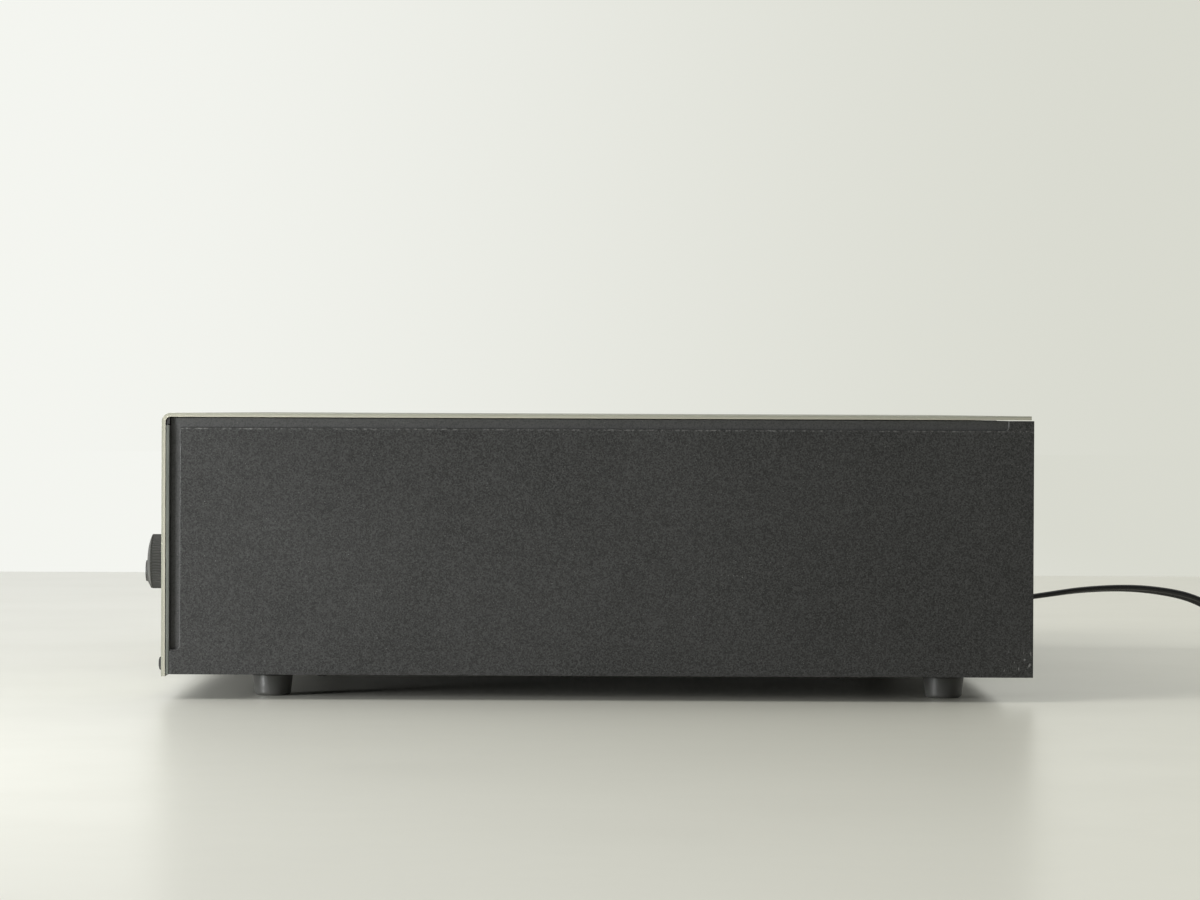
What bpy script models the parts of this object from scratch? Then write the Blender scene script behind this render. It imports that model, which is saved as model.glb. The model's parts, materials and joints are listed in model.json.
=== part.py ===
"""A front-loading cassette deck of about 1980, in metres, +Z up, front towards -Y.

One bent sheet makes the front and the top, two dark side panels stand under it, and a cassette
bay with its tape transport sits behind the door at the left of the front.
"""

import math

import bmesh
import bpy
import numpy as np
from mathutils import Matrix, Vector

# Overall sizes
WIDTH = 0.445
HEIGHT = 0.110
BODY_DEPTH = 0.3346
BODY_BOTTOM = 0.0097
GAP = 0.0003
OVERRUN = 0.002

# Bent cover sheet, its backing and the two side panels
COVER_SHEET = 0.0015
COVER_BEND = 0.0034
COVER_DROP = 0.0008
COVER_SHORT = 0.0010
BACKING_SHEET = 0.0012
BACKING_DROP = 0.0013
SIDE_SHEET = 0.0040
GROOVE_WIDTH = 0.0038
GROOVE_DEPTH = 0.0020
GROOVE_REAR_END = 0.0097
GROOVE_LOW_END = 0.0095
GROOVE_CORNER = 0.0015

# Vent slots over the transformer
VENT_COUNT = 14
VENT_PITCH = 0.0090
VENT_WIDTH = 0.0030
VENT_LENGTH = 0.0400
VENT_REAR = 0.0500
VENT_SIDE = 0.0420

# Bottom pan, pressed down in the middle, and its feet
PAN_SHEET = 0.0010
PAN_PRESS = 0.0012
PAN_FRONT_RIM = 0.0257
PAN_REAR_RIM = 0.0200
PAN_SIDE_RIM = 0.0130
PAN_SLOPE = 0.0020
PAN_NOTCH = 0.0010
FOOT_TOP_RADIUS = 0.0079
FOOT_LOW_RADIUS = 0.0070
FOOT_EDGE = 0.0008
FOOT_FRONT = 0.0406
FOOT_REAR = 0.0319
FOOT_SIDE = 0.0300

# Rear panel, set in from the ends of the cover and the sides
REAR_SHEET = 0.0010
REAR_INSET = 0.0095
SOCKET_PITCH = 0.0140
SOCKET_RADIUS = 0.0041
SOCKET_BORE = 0.0017
SOCKET_REACH = 0.0078
SOCKET_PLATE = 0.0015
SOCKET_BORDER = 0.0080
SOCKET_X = 0.0400
SOCKET_Z = 0.0700

# Cassette and cassette door
CASSETTE_WIDTH = 0.1004
CASSETTE_TOP = 0.0042
CASSETTE_THICK = 0.0120
CASSETTE_PLAY = 0.0006
DOOR_MARGIN = 0.0265
DOOR_WIDTH = 0.1160
DOOR_LOW = 0.0270
DOOR_TOP = 0.0080
DOOR_SHEET = 0.0030
DOOR_FIT = 0.0005
DOOR_ROLL = 0.0028
DOOR_PIN = 0.0010
DOOR_EDGE = 0.0008
WINDOW_WIDTH = 0.0860
WINDOW_SHARE = 0.533
WINDOW_SHEET = 0.0018
WINDOW_DROP = 0.0004

# Cassette holder behind the door
HOLDER_SHEET = 0.0008
RAIL_WALL = 0.0015
RAIL_LIP = 0.0060
LIP_SHEET = 0.0010
SHELF_LENGTH = 0.0080
SHELF_SHEET = 0.0015
CASSETTE_LIFT = 0.0009

# Bay walls and the transport's plate
BAY_WALL = 0.0015
BAY_SIDE = 0.0020
BAY_LOW = 0.0110
BAY_TOP = 0.0060
PLATE_SHEET = 0.0012
PLATE_BEHIND = 0.0016

# Tape transport
HUB_SPACING = 0.0425
HUB_RISE_SHARE = 0.5486
HUB_TABLE = 0.0090
HUB_TABLE_SHEET = 0.0017
HUB_CORE = 0.0033
HUB_FIN = 0.0047
HUB_FIN_SHEET = 0.0012
HUB_BLADES = 3
HUB_TIP = 0.0012
HUB_SHAFT = 0.0015
HUB_PULLEY = 0.0060
HUB_PULLEY_SHEET = 0.0024
HUB_CLEAR = 0.0050
CAPSTAN_SPACING = 0.0315
CAPSTAN_RISE = 0.0095
CAPSTAN_RADIUS = 0.00125
CAPSTAN_REACH = 0.0052
FLYWHEEL_RADIUS = 0.0280
FLYWHEEL_THICK = 0.0060
FLYWHEEL_RIM = 0.0045
FLYWHEEL_WEB = 0.0030
FLYWHEEL_HUB = 0.0060
FLYWHEEL_BOSS = 0.0010
FLYWHEEL_BEHIND = 0.0037
BELT_WIDTH = 0.0028
BELT_THICK = 0.0010
MOTOR_SPACING = 0.0665
MOTOR_RADIUS = 0.0160
MOTOR_LENGTH = 0.0260
MOTOR_SHAFT = 0.0010
MOTOR_POST = 0.0018
MOTOR_POST_RING = 0.0120
MOTOR_POSTS = 3
MOTOR_CLEAR = 0.0020
PULLEY_RADIUS = 0.0040
PULLEY_FLANGE = 0.0055
PULLEY_FLANGE_SHEET = 0.0010
PULLEY_BORE = 0.0013
BRIDGE_HALF = 0.0220
BRIDGE_SHEET = 0.0015
BRIDGE_LOW = 0.0130
BRIDGE_HIGH = 0.0220
BRIDGE_SHELF = 0.0012
BRIDGE_TRAVEL = 0.0080
BRIDGE_STUD = 0.0013
BRIDGE_STUD_SPACING = 0.0300
BRIDGE_STUD_RISE = 0.0045
HEAD_WIDTH = 0.0120
HEAD_DEPTH = 0.0090
HEAD_HEIGHT = 0.0112
HEAD_CROWN = 0.0045
HEAD_STEP = 0.00125
HEAD_SHELF_FRONT = 0.0015
ERASE_WIDTH = 0.0070
ERASE_HEIGHT = 0.0104
ERASE_SPACING = 0.0140
ROLLER_RADIUS = 0.0065
ROLLER_LENGTH = 0.0080
ROLLER_BORE = 0.0012
ROLLER_PIN = 0.0009
ARM_LENGTH = 0.0200
ARM_SHEET = 0.0009
ARM_EYE = 0.0030
ARM_PIVOT = 0.0015
ARM_LIFT = 0.0080

# Front controls, from the door's side towards the right
CONTROL_MARGIN = 0.0180
KEY_COUNT = 6
KEY_CLEAR = 0.0295
KEY_HEIGHT = 0.0114
KEY_LOW = 0.0145
KEY_PROUD = 0.0060
KEY_REAR = 0.0120
KEY_DISH = 0.0010
KEY_NOSE = 0.0016
KEY_FIT = 0.0004
KEY_TRAVEL = 0.0040
KEY_FRAME_WALL = 0.0015
METER_TOP = 0.0160
METER_SHARE = 0.382
METER_SHEET = 0.0011
METER_LEDGE = 0.0030
COUNTER_SHARE = 0.332
COUNTER_WHEEL = 0.0065
COUNTER_WHEEL_WIDTH = 0.0050
COUNTER_WHEELS = 3
COUNTER_BORE = 0.0018
COUNTER_SHAFT = 0.0015
COUNTER_WALL = 0.0012
COUNTER_VIEW = 0.0080
COUNTER_GAP = 0.0004
RESET_RADIUS = 0.0025
RESET_SPACING = 0.0070
RESET_PROUD = 0.0020
BUTTON_SIZE = (0.0140, 0.0056)
BUTTON_PROUD = 0.0030
BUTTON_REAR = 0.0090
BUTTON_SPACING = 0.0300
BUTTON_START = 0.0560
BUTTON_EDGE = 0.0006
EJECT_SIZE = (0.0220, 0.0080)
EJECT_LOW = 0.0148
EJECT_MARGIN = 0.0035
JACK_BUSH = 0.0045
JACK_BORE = 0.0033
JACK_PROUD = 0.0015
JACK_BODY = (0.0140, 0.0120)
JACK_LENGTH = 0.0300
JACK_SPACING = 0.0330
JACK_Z = 0.0210
POWER_SIZE = (0.0140, 0.00525)
POWER_X = 0.0200
POWER_Z = 0.0131
POWER_PROUD = 0.0025
POWER_DOME = 0.0020
POWER_TRAVEL = 0.0020

# Level knobs: the large one near the right-hand end, the small one inboard and lower
KNOB_X = 0.0250
KNOB_Z = 0.0522
KNOB_RADIUS = 0.01055
KNOB_RIM = 0.0057
KNOB_REACH = 0.0078
KNOB_RIBS = 60
SMALL_KNOB_SPACING = 0.0310
SMALL_KNOB_Z = 0.0473
SMALL_KNOB_RADIUS = 0.0069
SMALL_KNOB_CAP = 0.0042
SMALL_KNOB_RIM = 0.0097
SMALL_KNOB_SHOULDER = 0.0111
SMALL_KNOB_REACH = 0.0117
SMALL_KNOB_PIP = 0.0003
SMALL_KNOB_PIP_RADIUS = 0.0006
SMALL_KNOB_RIBS = 36
RIB_DEPTH = 0.00030
RIB_INNER_SHARE = 0.98
RIB_OUTER_SHARE = 1.01
DOME_SHARES = (0.3, 0.6, 0.8, 0.93)
DOME_POWER = 0.75
KNOB_STAND = 0.0005
KNOB_BORE = 0.0033
KNOB_BORE_END = 0.0010
POT_SHAFT = 0.0030
POT_RADIUS = 0.0080
POT_LENGTH = 0.0110
POT_BOARD = 0.0016
POT_BORDER = 0.0030

# Inside the case, on the pan
BOARD_SHEET = 0.0016
BOARD_RISE = 0.0100
BOARD_FRONT = 0.0450
BOARD_DEPTH = 0.1500
BOARD_SIDE = 0.0140
BOARD_LEFT = 0.0200
BOARD_LEG = 0.0025
BOARD_LEG_MARGIN = 0.0080
CAPACITOR_RADIUS = 0.0090
CAPACITOR_HEIGHT = 0.0300
CAPACITOR_SPACING = 0.0240
CAPACITOR_EDGE = 0.0010
CAPACITOR_MARGIN = 0.0200
CORE_SIZE = (0.0570, 0.0360, 0.0480)
CORE_X = 0.0600
CORE_REAR = 0.0450
COIL_OUT = 0.0100

# Mains lead: a flat two-core cord whose width is taken as its diameter
CORD_WIDTH = 0.0050
EXIT_X = -0.1500
EXIT_Z = 0.0236
BOOT_FLANGE = 0.0075
BOOT_FLANGE_SHEET = 0.0020
BOOT_NECK = 0.0050
BOOT_WIDE = 0.0056
BOOT_TIP = 0.0034
BOOT_LENGTH = 0.0250
COIL_TURNS = 7.25
COIL_LAYERS = 4
COIL_PITCH = 0.0055
COIL_MIDDLE = 0.0288
COIL_STEPS = 24
COIL_BEHIND = 0.1660
TIE_SHEET = 0.0006
TIE_WIDTH = 0.0080
PLUG_SIZE = (0.0260, 0.0340, 0.0137)
PLUG_NOSE_SHARE = 0.42
PLUG_TAPER_SHARE = 0.45
PLUG_PIN = 0.0020
PLUG_PIN_LENGTH = 0.0190
PLUG_PIN_SPACING = 0.0186
PLUG_EDGE = 0.0015
PLUG_REACH = 0.0440
TAIL_RUN_SHARES = (0.18, 0.50, 0.82)
TAIL_DROP_SHARES = (0.06, 0.50, 0.97)

# Places worked out from the sizes
FRONT = SMALL_KNOB_REACH / 2 + SMALL_KNOB_PIP / 2 - BODY_DEPTH / 2
REAR = FRONT + BODY_DEPTH
COVER_BACK = FRONT + COVER_SHEET
BACKING_FRONT = COVER_BACK + GAP
BACKING_BACK = BACKING_FRONT + BACKING_SHEET
INNER_FRONT = BACKING_BACK + GAP
CEILING = HEIGHT - COVER_SHEET - GAP
SIDE_INNER = WIDTH / 2 - SIDE_SHEET
REAR_FACE = REAR - REAR_INSET
PAN_TOP = BODY_BOTTOM + PAN_SHEET
PAN_LOW = BODY_BOTTOM - PAN_PRESS
PRESSED_TOP = PAN_TOP - PAN_PRESS

DOOR_HIGH = HEIGHT - DOOR_TOP
BAY_HIGH = HEIGHT - BAY_TOP
BAY_X = DOOR_MARGIN + DOOR_WIDTH / 2 - WIDTH / 2
HINGE_Y = FRONT + DOOR_ROLL
HINGE_Z = DOOR_LOW + DOOR_FIT + DOOR_ROLL
HOLDER_FRONT = FRONT + DOOR_SHEET + GAP
CASSETTE_FRONT = HOLDER_FRONT + HOLDER_SHEET + GAP
CASSETTE_BACK = CASSETTE_FRONT + CASSETTE_THICK
CASSETTE_LOW = HINGE_Z + DOOR_ROLL + CASSETTE_LIFT
CASSETTE_HEIGHT = DOOR_HIGH - CASSETTE_TOP - CASSETTE_LOW
WINDOW_HEIGHT = CASSETTE_HEIGHT * WINDOW_SHARE
HOLDER_BACK = CASSETTE_BACK + LIP_SHEET
RAIL_INNER = CASSETTE_WIDTH / 2 + CASSETTE_PLAY
PLATE_FRONT = HOLDER_BACK + PLATE_BEHIND
PLATE_BACK = PLATE_FRONT + PLATE_SHEET
BAY_HALF = DOOR_WIDTH / 2 + BAY_SIDE
HUB_Z = CASSETTE_LOW + CASSETTE_HEIGHT * HUB_RISE_SHARE
CAPSTAN_X = BAY_X + CAPSTAN_SPACING
CAPSTAN_Z = CASSETTE_LOW + CAPSTAN_RISE
FLYWHEEL_FRONT = PLATE_BACK + FLYWHEEL_BEHIND
MOTOR_X = CAPSTAN_X - MOTOR_SPACING
ROLLER_REST_Z = CAPSTAN_Z - CAPSTAN_RADIUS - ROLLER_RADIUS - GAP - ARM_LIFT
PIVOT_Z = ROLLER_REST_Z + ARM_LIFT / 2
PIVOT_X = CAPSTAN_X + math.sqrt(ARM_LENGTH**2 - (ARM_LIFT / 2) ** 2)

BIG_KNOB_X = WIDTH / 2 - KNOB_X
SMALL_KNOB_X = BIG_KNOB_X - SMALL_KNOB_SPACING
JACK_X = SMALL_KNOB_X - JACK_SPACING
CONTROL_LEFT = BAY_X + DOOR_WIDTH / 2 + CONTROL_MARGIN
CONTROL_RIGHT = JACK_X - JACK_BODY[0] / 2 - KEY_CLEAR
KEY_PITCH = (CONTROL_RIGHT - CONTROL_LEFT) / KEY_COUNT
KEY_HIGH = KEY_LOW + KEY_HEIGHT
METER_HIGH = HEIGHT - METER_TOP
METER_HEIGHT = (METER_HIGH - KEY_HIGH) * METER_SHARE
METER_LOW = METER_HIGH - METER_HEIGHT
COUNTER_Z = KEY_HIGH + (METER_HIGH - KEY_HIGH) * COUNTER_SHARE
COUNTER_LOW = COUNTER_Z - COUNTER_WHEEL
COUNTER_Y = INNER_FRONT + COUNTER_WHEEL + GAP
COUNTER_SPAN = COUNTER_WHEELS * (COUNTER_WHEEL_WIDTH + COUNTER_GAP) + COUNTER_GAP
COUNTER_LEFT = CONTROL_LEFT + COUNTER_WALL
RESET_X = COUNTER_LEFT + COUNTER_SPAN + COUNTER_WALL + RESET_SPACING
POWER_CENTRE_X = WIDTH / 2 - POWER_X
EJECT_X = BAY_X - BAY_HALF + BAY_WALL + EJECT_MARGIN + EJECT_SIZE[0] / 2
EJECT_Z = EJECT_LOW + EJECT_SIZE[1] / 2

SMOOTH_ANGLE = math.radians(35)


def clear_scene():
    for obj in list(bpy.data.objects):
        bpy.data.objects.remove(obj, do_unlink=True)


def new_collection(name):
    collection = bpy.data.collections.new(name)
    bpy.context.scene.collection.children.link(collection)
    return collection


clear_scene()
PARTS = new_collection("cassette_deck")
CUTTERS = new_collection("cutters")
CUTTERS.hide_render = True


def material(name, colour, roughness, metallic=0.0):
    """One Principled finish, made once and shared by its name."""
    found = bpy.data.materials.get(name)
    if found:
        return found
    made = bpy.data.materials.new(name)
    made.use_nodes = True
    shader = made.node_tree.nodes["Principled BSDF"]
    shader.inputs["Base Color"].default_value = (*colour, 1.0)
    shader.inputs["Roughness"].default_value = roughness
    shader.inputs["Metallic"].default_value = metallic
    return made


FINISHES = {
    "warm_grey_paint": ((0.46, 0.45, 0.37), 0.45, 0.0),
    "grey_sheet": ((0.13, 0.13, 0.12), 0.60, 0.0),
    "charcoal_paint": ((0.045, 0.045, 0.043), 0.75, 0.0),
    "black_plastic": ((0.015, 0.015, 0.015), 0.50, 0.0),
    "dark_knob": ((0.030, 0.030, 0.029), 0.40, 0.0),
    "plated_steel": ((0.55, 0.54, 0.50), 0.35, 1.0),
    "turned_brass": ((0.62, 0.48, 0.24), 0.30, 1.0),
    "smoked_window": ((0.030, 0.028, 0.026), 0.08, 0.0),
    "black_rubber": ((0.018, 0.018, 0.018), 0.70, 0.0),
    "board_brown": ((0.230, 0.120, 0.050), 0.55, 0.0),
    "lamination_steel": ((0.16, 0.15, 0.14), 0.55, 0.6),
    "coil_tape": ((0.60, 0.45, 0.12), 0.55, 0.0),
    "white_plastic": ((0.75, 0.74, 0.70), 0.50, 0.0),
    "red_cap": ((0.45, 0.03, 0.02), 0.45, 0.0),
}


def place(name, shape, finish, origin=(0, 0, 0), rotation=(0, 0, 0)):
    """Puts a mesh or curve into the scene as one part, with its origin where it turns or slides."""
    obj = bpy.data.objects.new(name, shape)
    obj.location = origin
    obj.rotation_euler = rotation
    shape.materials.append(material(finish, *FINISHES[finish]))
    PARTS.objects.link(obj)
    return obj


def cube_between(bm, low, high):
    """Adds a box between two corners in world coordinates."""
    size = [b - a for a, b in zip(low, high)]
    middle = [(a + b) / 2 for a, b in zip(low, high)]
    grown = Matrix.Translation(middle) @ Matrix.Diagonal((*size, 1))
    bmesh.ops.create_cube(bm, size=1, matrix=grown)


AXES = {"X": Matrix.Rotation(math.pi / 2, 4, "Y"), "Y": Matrix.Rotation(math.pi / 2, 4, "X"), "Z": Matrix()}


def rod_between(bm, start, end, radius, axis, sides=24):
    """Adds a round bar along one axis, between two positions on that axis."""
    middle = [(a + b) / 2 for a, b in zip(start, end)]
    length = (Vector(end) - Vector(start)).length
    turned_to = Matrix.Translation(middle) @ AXES[axis]
    bmesh.ops.create_cone(
        bm, cap_ends=True, segments=sides, radius1=radius, radius2=radius, depth=length, matrix=turned_to
    )


def mesh_of(bm, name, origin=(0, 0, 0)):
    """Closes a bmesh into a mesh whose points are measured from the origin given."""
    bmesh.ops.translate(bm, verts=bm.verts, vec=[-value for value in origin])
    mesh = bpy.data.meshes.new(name)
    bm.to_mesh(mesh)
    bm.free()
    return mesh


def block(name, low, high, finish, origin=(0, 0, 0)):
    bm = bmesh.new()
    cube_between(bm, low, high)
    return place(name, mesh_of(bm, name, origin), finish, origin)


def helper(name, bm):
    """A hidden shape that cuts a part or is joined to one."""
    obj = bpy.data.objects.new(name, mesh_of(bm, name))
    obj.hide_render = True
    obj.display_type = "WIRE"
    CUTTERS.objects.link(obj)
    return obj


def boolean(part, bm, operation, label):
    """Cuts the shape from the part, or joins it on."""
    modifier = part.modifiers.new(label, "BOOLEAN")
    modifier.operation = operation
    modifier.solver = "EXACT"
    modifier.use_self = operation == "UNION"
    modifier.object = helper(f"{part.name}_{label}", bm)


def cut_boxes(part, boxes, label):
    bm = bmesh.new()
    for low, high in boxes:
        cube_between(bm, low, high)
    boolean(part, bm, "DIFFERENCE", label)


def cut_rods(part, rods, label):
    """Each rod is its start, its end, its radius and its axis."""
    bm = bmesh.new()
    for start, end, radius, axis in rods:
        rod_between(bm, start, end, radius, axis)
    boolean(part, bm, "DIFFERENCE", label)


def join_shapes(part, boxes, rods, label):
    bm = bmesh.new()
    for low, high in boxes:
        cube_between(bm, low, high)
    for start, end, radius, axis in rods:
        rod_between(bm, start, end, radius, axis)
    boolean(part, bm, "UNION", label)


PLANES = {
    "YZ": Matrix(((0, 0, 1, 0), (1, 0, 0, 0), (0, 1, 0, 0), (0, 0, 0, 1))),
    "XZ": Matrix(((1, 0, 0, 0), (0, 0, -1, 0), (0, 1, 0, 0), (0, 0, 0, 1))),
    "XY": Matrix(),
}


def prism(name, outlines, plane, near, far, origin=(0, 0, 0)):
    """A flat outline, or one with holes, given a thickness from near to far across its plane."""
    curve = bpy.data.curves.new(name, "CURVE")
    curve.dimensions = "2D"
    curve.fill_mode = "BOTH"
    curve.extrude = abs(far - near) / 2
    for outline in outlines:
        spline = curve.splines.new("POLY")
        spline.points.add(len(outline) - 1)
        for point, (u, v) in zip(spline.points, outline):
            point.co = (u, v, 0, 1)
        spline.use_cyclic_u = True
    guide = bpy.data.objects.new(name, curve)
    bpy.context.scene.collection.objects.link(guide)
    graph = bpy.context.evaluated_depsgraph_get()
    mesh = bpy.data.meshes.new_from_object(guide.evaluated_get(graph))
    bpy.data.objects.remove(guide, do_unlink=True)
    bm = bmesh.new()
    bm.from_mesh(mesh)
    bpy.data.meshes.remove(mesh)
    bmesh.ops.remove_doubles(bm, verts=bm.verts, dist=GAP / 100)
    across = -(near + far) / 2 if plane == "XZ" else (near + far) / 2
    bmesh.ops.transform(bm, matrix=PLANES[plane] @ Matrix.Translation((0, 0, across)), verts=bm.verts)
    bmesh.ops.recalc_face_normals(bm, faces=bm.faces)
    return mesh_of(bm, name, origin)


def arc(centre, radius, first, last, steps):
    """Points along an arc between two angles in degrees."""
    angles = np.radians(np.linspace(first, last, steps + 1))
    return [(centre[0] + radius * math.cos(a), centre[1] + radius * math.sin(a)) for a in angles]


def turned(name, profile, finish, origin, axis="Y", steps=32):
    """A turned piece: radius and height pairs, from the top down the outer side, spun about the axis.

    Its top looks along +Z, along -Y for the axis Y, or along +X for the axis X.
    """
    mesh = bpy.data.meshes.new(name)
    points = [(radius, 0, height) for radius, height in profile]
    mesh.from_pydata(points, [(i, i + 1) for i in range(len(points) - 1)], [])
    obj = place(name, mesh, finish, origin, AXES[axis].to_euler())
    screw = obj.modifiers.new("turn", "SCREW")
    screw.steps = steps
    screw.render_steps = steps
    screw.use_merge_vertices = True
    screw.merge_threshold = GAP / 10
    screw.use_smooth_shade = True
    return obj


def applied(obj):
    """Replaces an object's mesh by the one its modifiers make."""
    graph = bpy.context.evaluated_depsgraph_get()
    made = bpy.data.meshes.new_from_object(obj.evaluated_get(graph))
    old = obj.data
    obj.modifiers.clear()
    obj.data = made
    bpy.data.meshes.remove(old)
    made.name = obj.name
    return obj


def shade_round(obj):
    obj.data.shade_smooth()
    obj.data.set_sharp_from_angle(angle=SMOOTH_ANGLE)


def bevelled(obj, width, segments=2):
    modifier = obj.modifiers.new("edge", "BEVEL")
    modifier.width = width
    modifier.segments = segments
    modifier.limit_method = "ANGLE"


def front_hole(x, z, half_width, half_height, fit):
    """The corners of a box that runs through the cover and its backing."""
    low = (x - half_width - fit, FRONT - OVERRUN, z - half_height - fit)
    high = (x + half_width + fit, INNER_FRONT + OVERRUN, z + half_height + fit)
    return low, high


def front_bore(x, z, radius):
    return (x, FRONT - OVERRUN, z), (x, INNER_FRONT + OVERRUN, z), radius, "Y"


BUTTON_Z = COUNTER_Z
BUTTON_XS = [CONTROL_LEFT + BUTTON_START + BUTTON_SPACING * i for i in range(2)]


def shared_front_cuts():
    """The cut-outs that the cover and its backing both have, for keys, buttons, counter and knobs."""
    counter_middle = COUNTER_LEFT + COUNTER_SPAN / 2
    keys_low = (CONTROL_LEFT, FRONT - OVERRUN, KEY_LOW - KEY_FIT)
    keys_high = (CONTROL_RIGHT, INNER_FRONT + OVERRUN, KEY_HIGH + KEY_FIT)
    boxes = [
        (keys_low, keys_high),
        front_hole(counter_middle, COUNTER_Z, COUNTER_SPAN / 2 - COUNTER_GAP, COUNTER_VIEW / 2, 0),
        front_hole(POWER_CENTRE_X, POWER_Z, POWER_SIZE[0] / 2, POWER_SIZE[1] / 2, GAP),
    ]
    boxes += [front_hole(x, BUTTON_Z, BUTTON_SIZE[0] / 2, BUTTON_SIZE[1] / 2, GAP) for x in BUTTON_XS]
    rods = [
        front_bore(BIG_KNOB_X, KNOB_Z, POT_SHAFT + GAP),
        front_bore(SMALL_KNOB_X, SMALL_KNOB_Z, POT_SHAFT + GAP),
        front_bore(JACK_X, JACK_Z, JACK_BUSH + GAP),
        front_bore(RESET_X, COUNTER_Z, RESET_RADIUS + GAP),
    ]
    return boxes, rods


def make_cover():
    """One sheet bent over the front's top edge, with all the front cut-outs and the vents at the rear."""
    low = BODY_BOTTOM - COVER_DROP
    back = REAR - COVER_SHORT
    bend = (FRONT + COVER_BEND, HEIGHT - COVER_BEND)
    inside = COVER_BEND - COVER_SHEET
    outline = [(FRONT, low)]
    outline += arc(bend, COVER_BEND, 180, 90, 6)
    outline += [(back, HEIGHT), (back, HEIGHT - COVER_SHEET)]
    outline += arc(bend, inside, 90, 180, 6)
    outline += [(COVER_BACK, low)]
    mesh = prism("wrap_cover", [outline], "YZ", -WIDTH / 2, WIDTH / 2)
    cover = place("wrap_cover", mesh, "warm_grey_paint")
    boxes, rods = shared_front_cuts()
    door = (
        (BAY_X - DOOR_WIDTH / 2, FRONT - OVERRUN, DOOR_LOW),
        (BAY_X + DOOR_WIDTH / 2, INNER_FRONT, DOOR_HIGH),
    )
    meter = (
        (CONTROL_LEFT, FRONT - OVERRUN, METER_LOW),
        (CONTROL_RIGHT, INNER_FRONT, METER_HIGH),
    )
    cut_boxes(cover, boxes + [door, meter, eject_hole()], "openings")
    cut_rods(cover, rods, "bores")
    vents = []
    for i in range(VENT_COUNT):
        x = WIDTH / 2 - VENT_SIDE - VENT_PITCH * i
        y = REAR - VENT_REAR
        vents.append(
            (
                (x - VENT_WIDTH / 2, y - VENT_LENGTH, HEIGHT - COVER_SHEET - OVERRUN),
                (x + VENT_WIDTH / 2, y, HEIGHT + OVERRUN),
            )
        )
    cut_boxes(cover, vents, "vents")


def eject_hole():
    return front_hole(EJECT_X, EJECT_Z, EJECT_SIZE[0] / 2, EJECT_SIZE[1] / 2, GAP)


def make_backing():
    """The flat plate behind the front, cut away round the cassette bay."""
    low = (-WIDTH / 2, BACKING_FRONT, BODY_BOTTOM)
    high = (WIDTH / 2, BACKING_BACK, HEIGHT - COVER_BEND - BACKING_DROP)
    backing = block("front_backing", low, high, "grey_sheet")
    boxes, rods = shared_front_cuts()
    bay = (
        (BAY_X - BAY_HALF - GAP, FRONT, BAY_LOW - GAP),
        (BAY_X + BAY_HALF + GAP, INNER_FRONT + OVERRUN, BAY_HIGH + GAP),
    )
    meter = (
        (CONTROL_LEFT + METER_LEDGE, FRONT, METER_LOW + METER_LEDGE),
        (CONTROL_RIGHT - METER_LEDGE, INNER_FRONT + OVERRUN, METER_HIGH - METER_LEDGE),
    )
    cut_boxes(backing, boxes + [bay, meter], "openings")
    cut_rods(backing, rods, "bores")


def make_side(name, side):
    """A side panel whose outer face is let in by a groove that follows the cover's front and top."""
    front_end = INNER_FRONT
    low_end = BODY_BOTTOM + GROOVE_LOW_END
    rear_end = REAR - GROOVE_REAR_END
    inner_x = side * SIDE_INNER
    outer_x = side * WIDTH / 2
    panel_low = (min(inner_x, outer_x), front_end, BODY_BOTTOM)
    panel_high = (max(inner_x, outer_x), REAR, CEILING)
    panel = block(name, panel_low, panel_high, "charcoal_paint")
    low_corner = (front_end + GROOVE_WIDTH - GROOVE_CORNER, low_end + GROOVE_CORNER)
    rear_corner = (rear_end - GROOVE_CORNER, CEILING - GROOVE_WIDTH + GROOVE_CORNER)
    groove = [(front_end - OVERRUN, CEILING + OVERRUN), (front_end - OVERRUN, low_end)]
    groove += arc(low_corner, GROOVE_CORNER, -90, 0, 3)
    groove += [(front_end + GROOVE_WIDTH, CEILING - GROOVE_WIDTH)]
    groove += arc(rear_corner, GROOVE_CORNER, -90, 0, 3)
    groove += [(rear_end, CEILING + OVERRUN)]
    floor_x = side * (WIDTH / 2 - GROOVE_DEPTH)
    clear_x = side * (WIDTH / 2 + OVERRUN)
    mesh = prism(f"{name}_groove", [groove], "YZ", min(floor_x, clear_x), max(floor_x, clear_x))
    bm = bmesh.new()
    bm.from_mesh(mesh)
    boolean(panel, bm, "DIFFERENCE", "groove")


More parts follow.
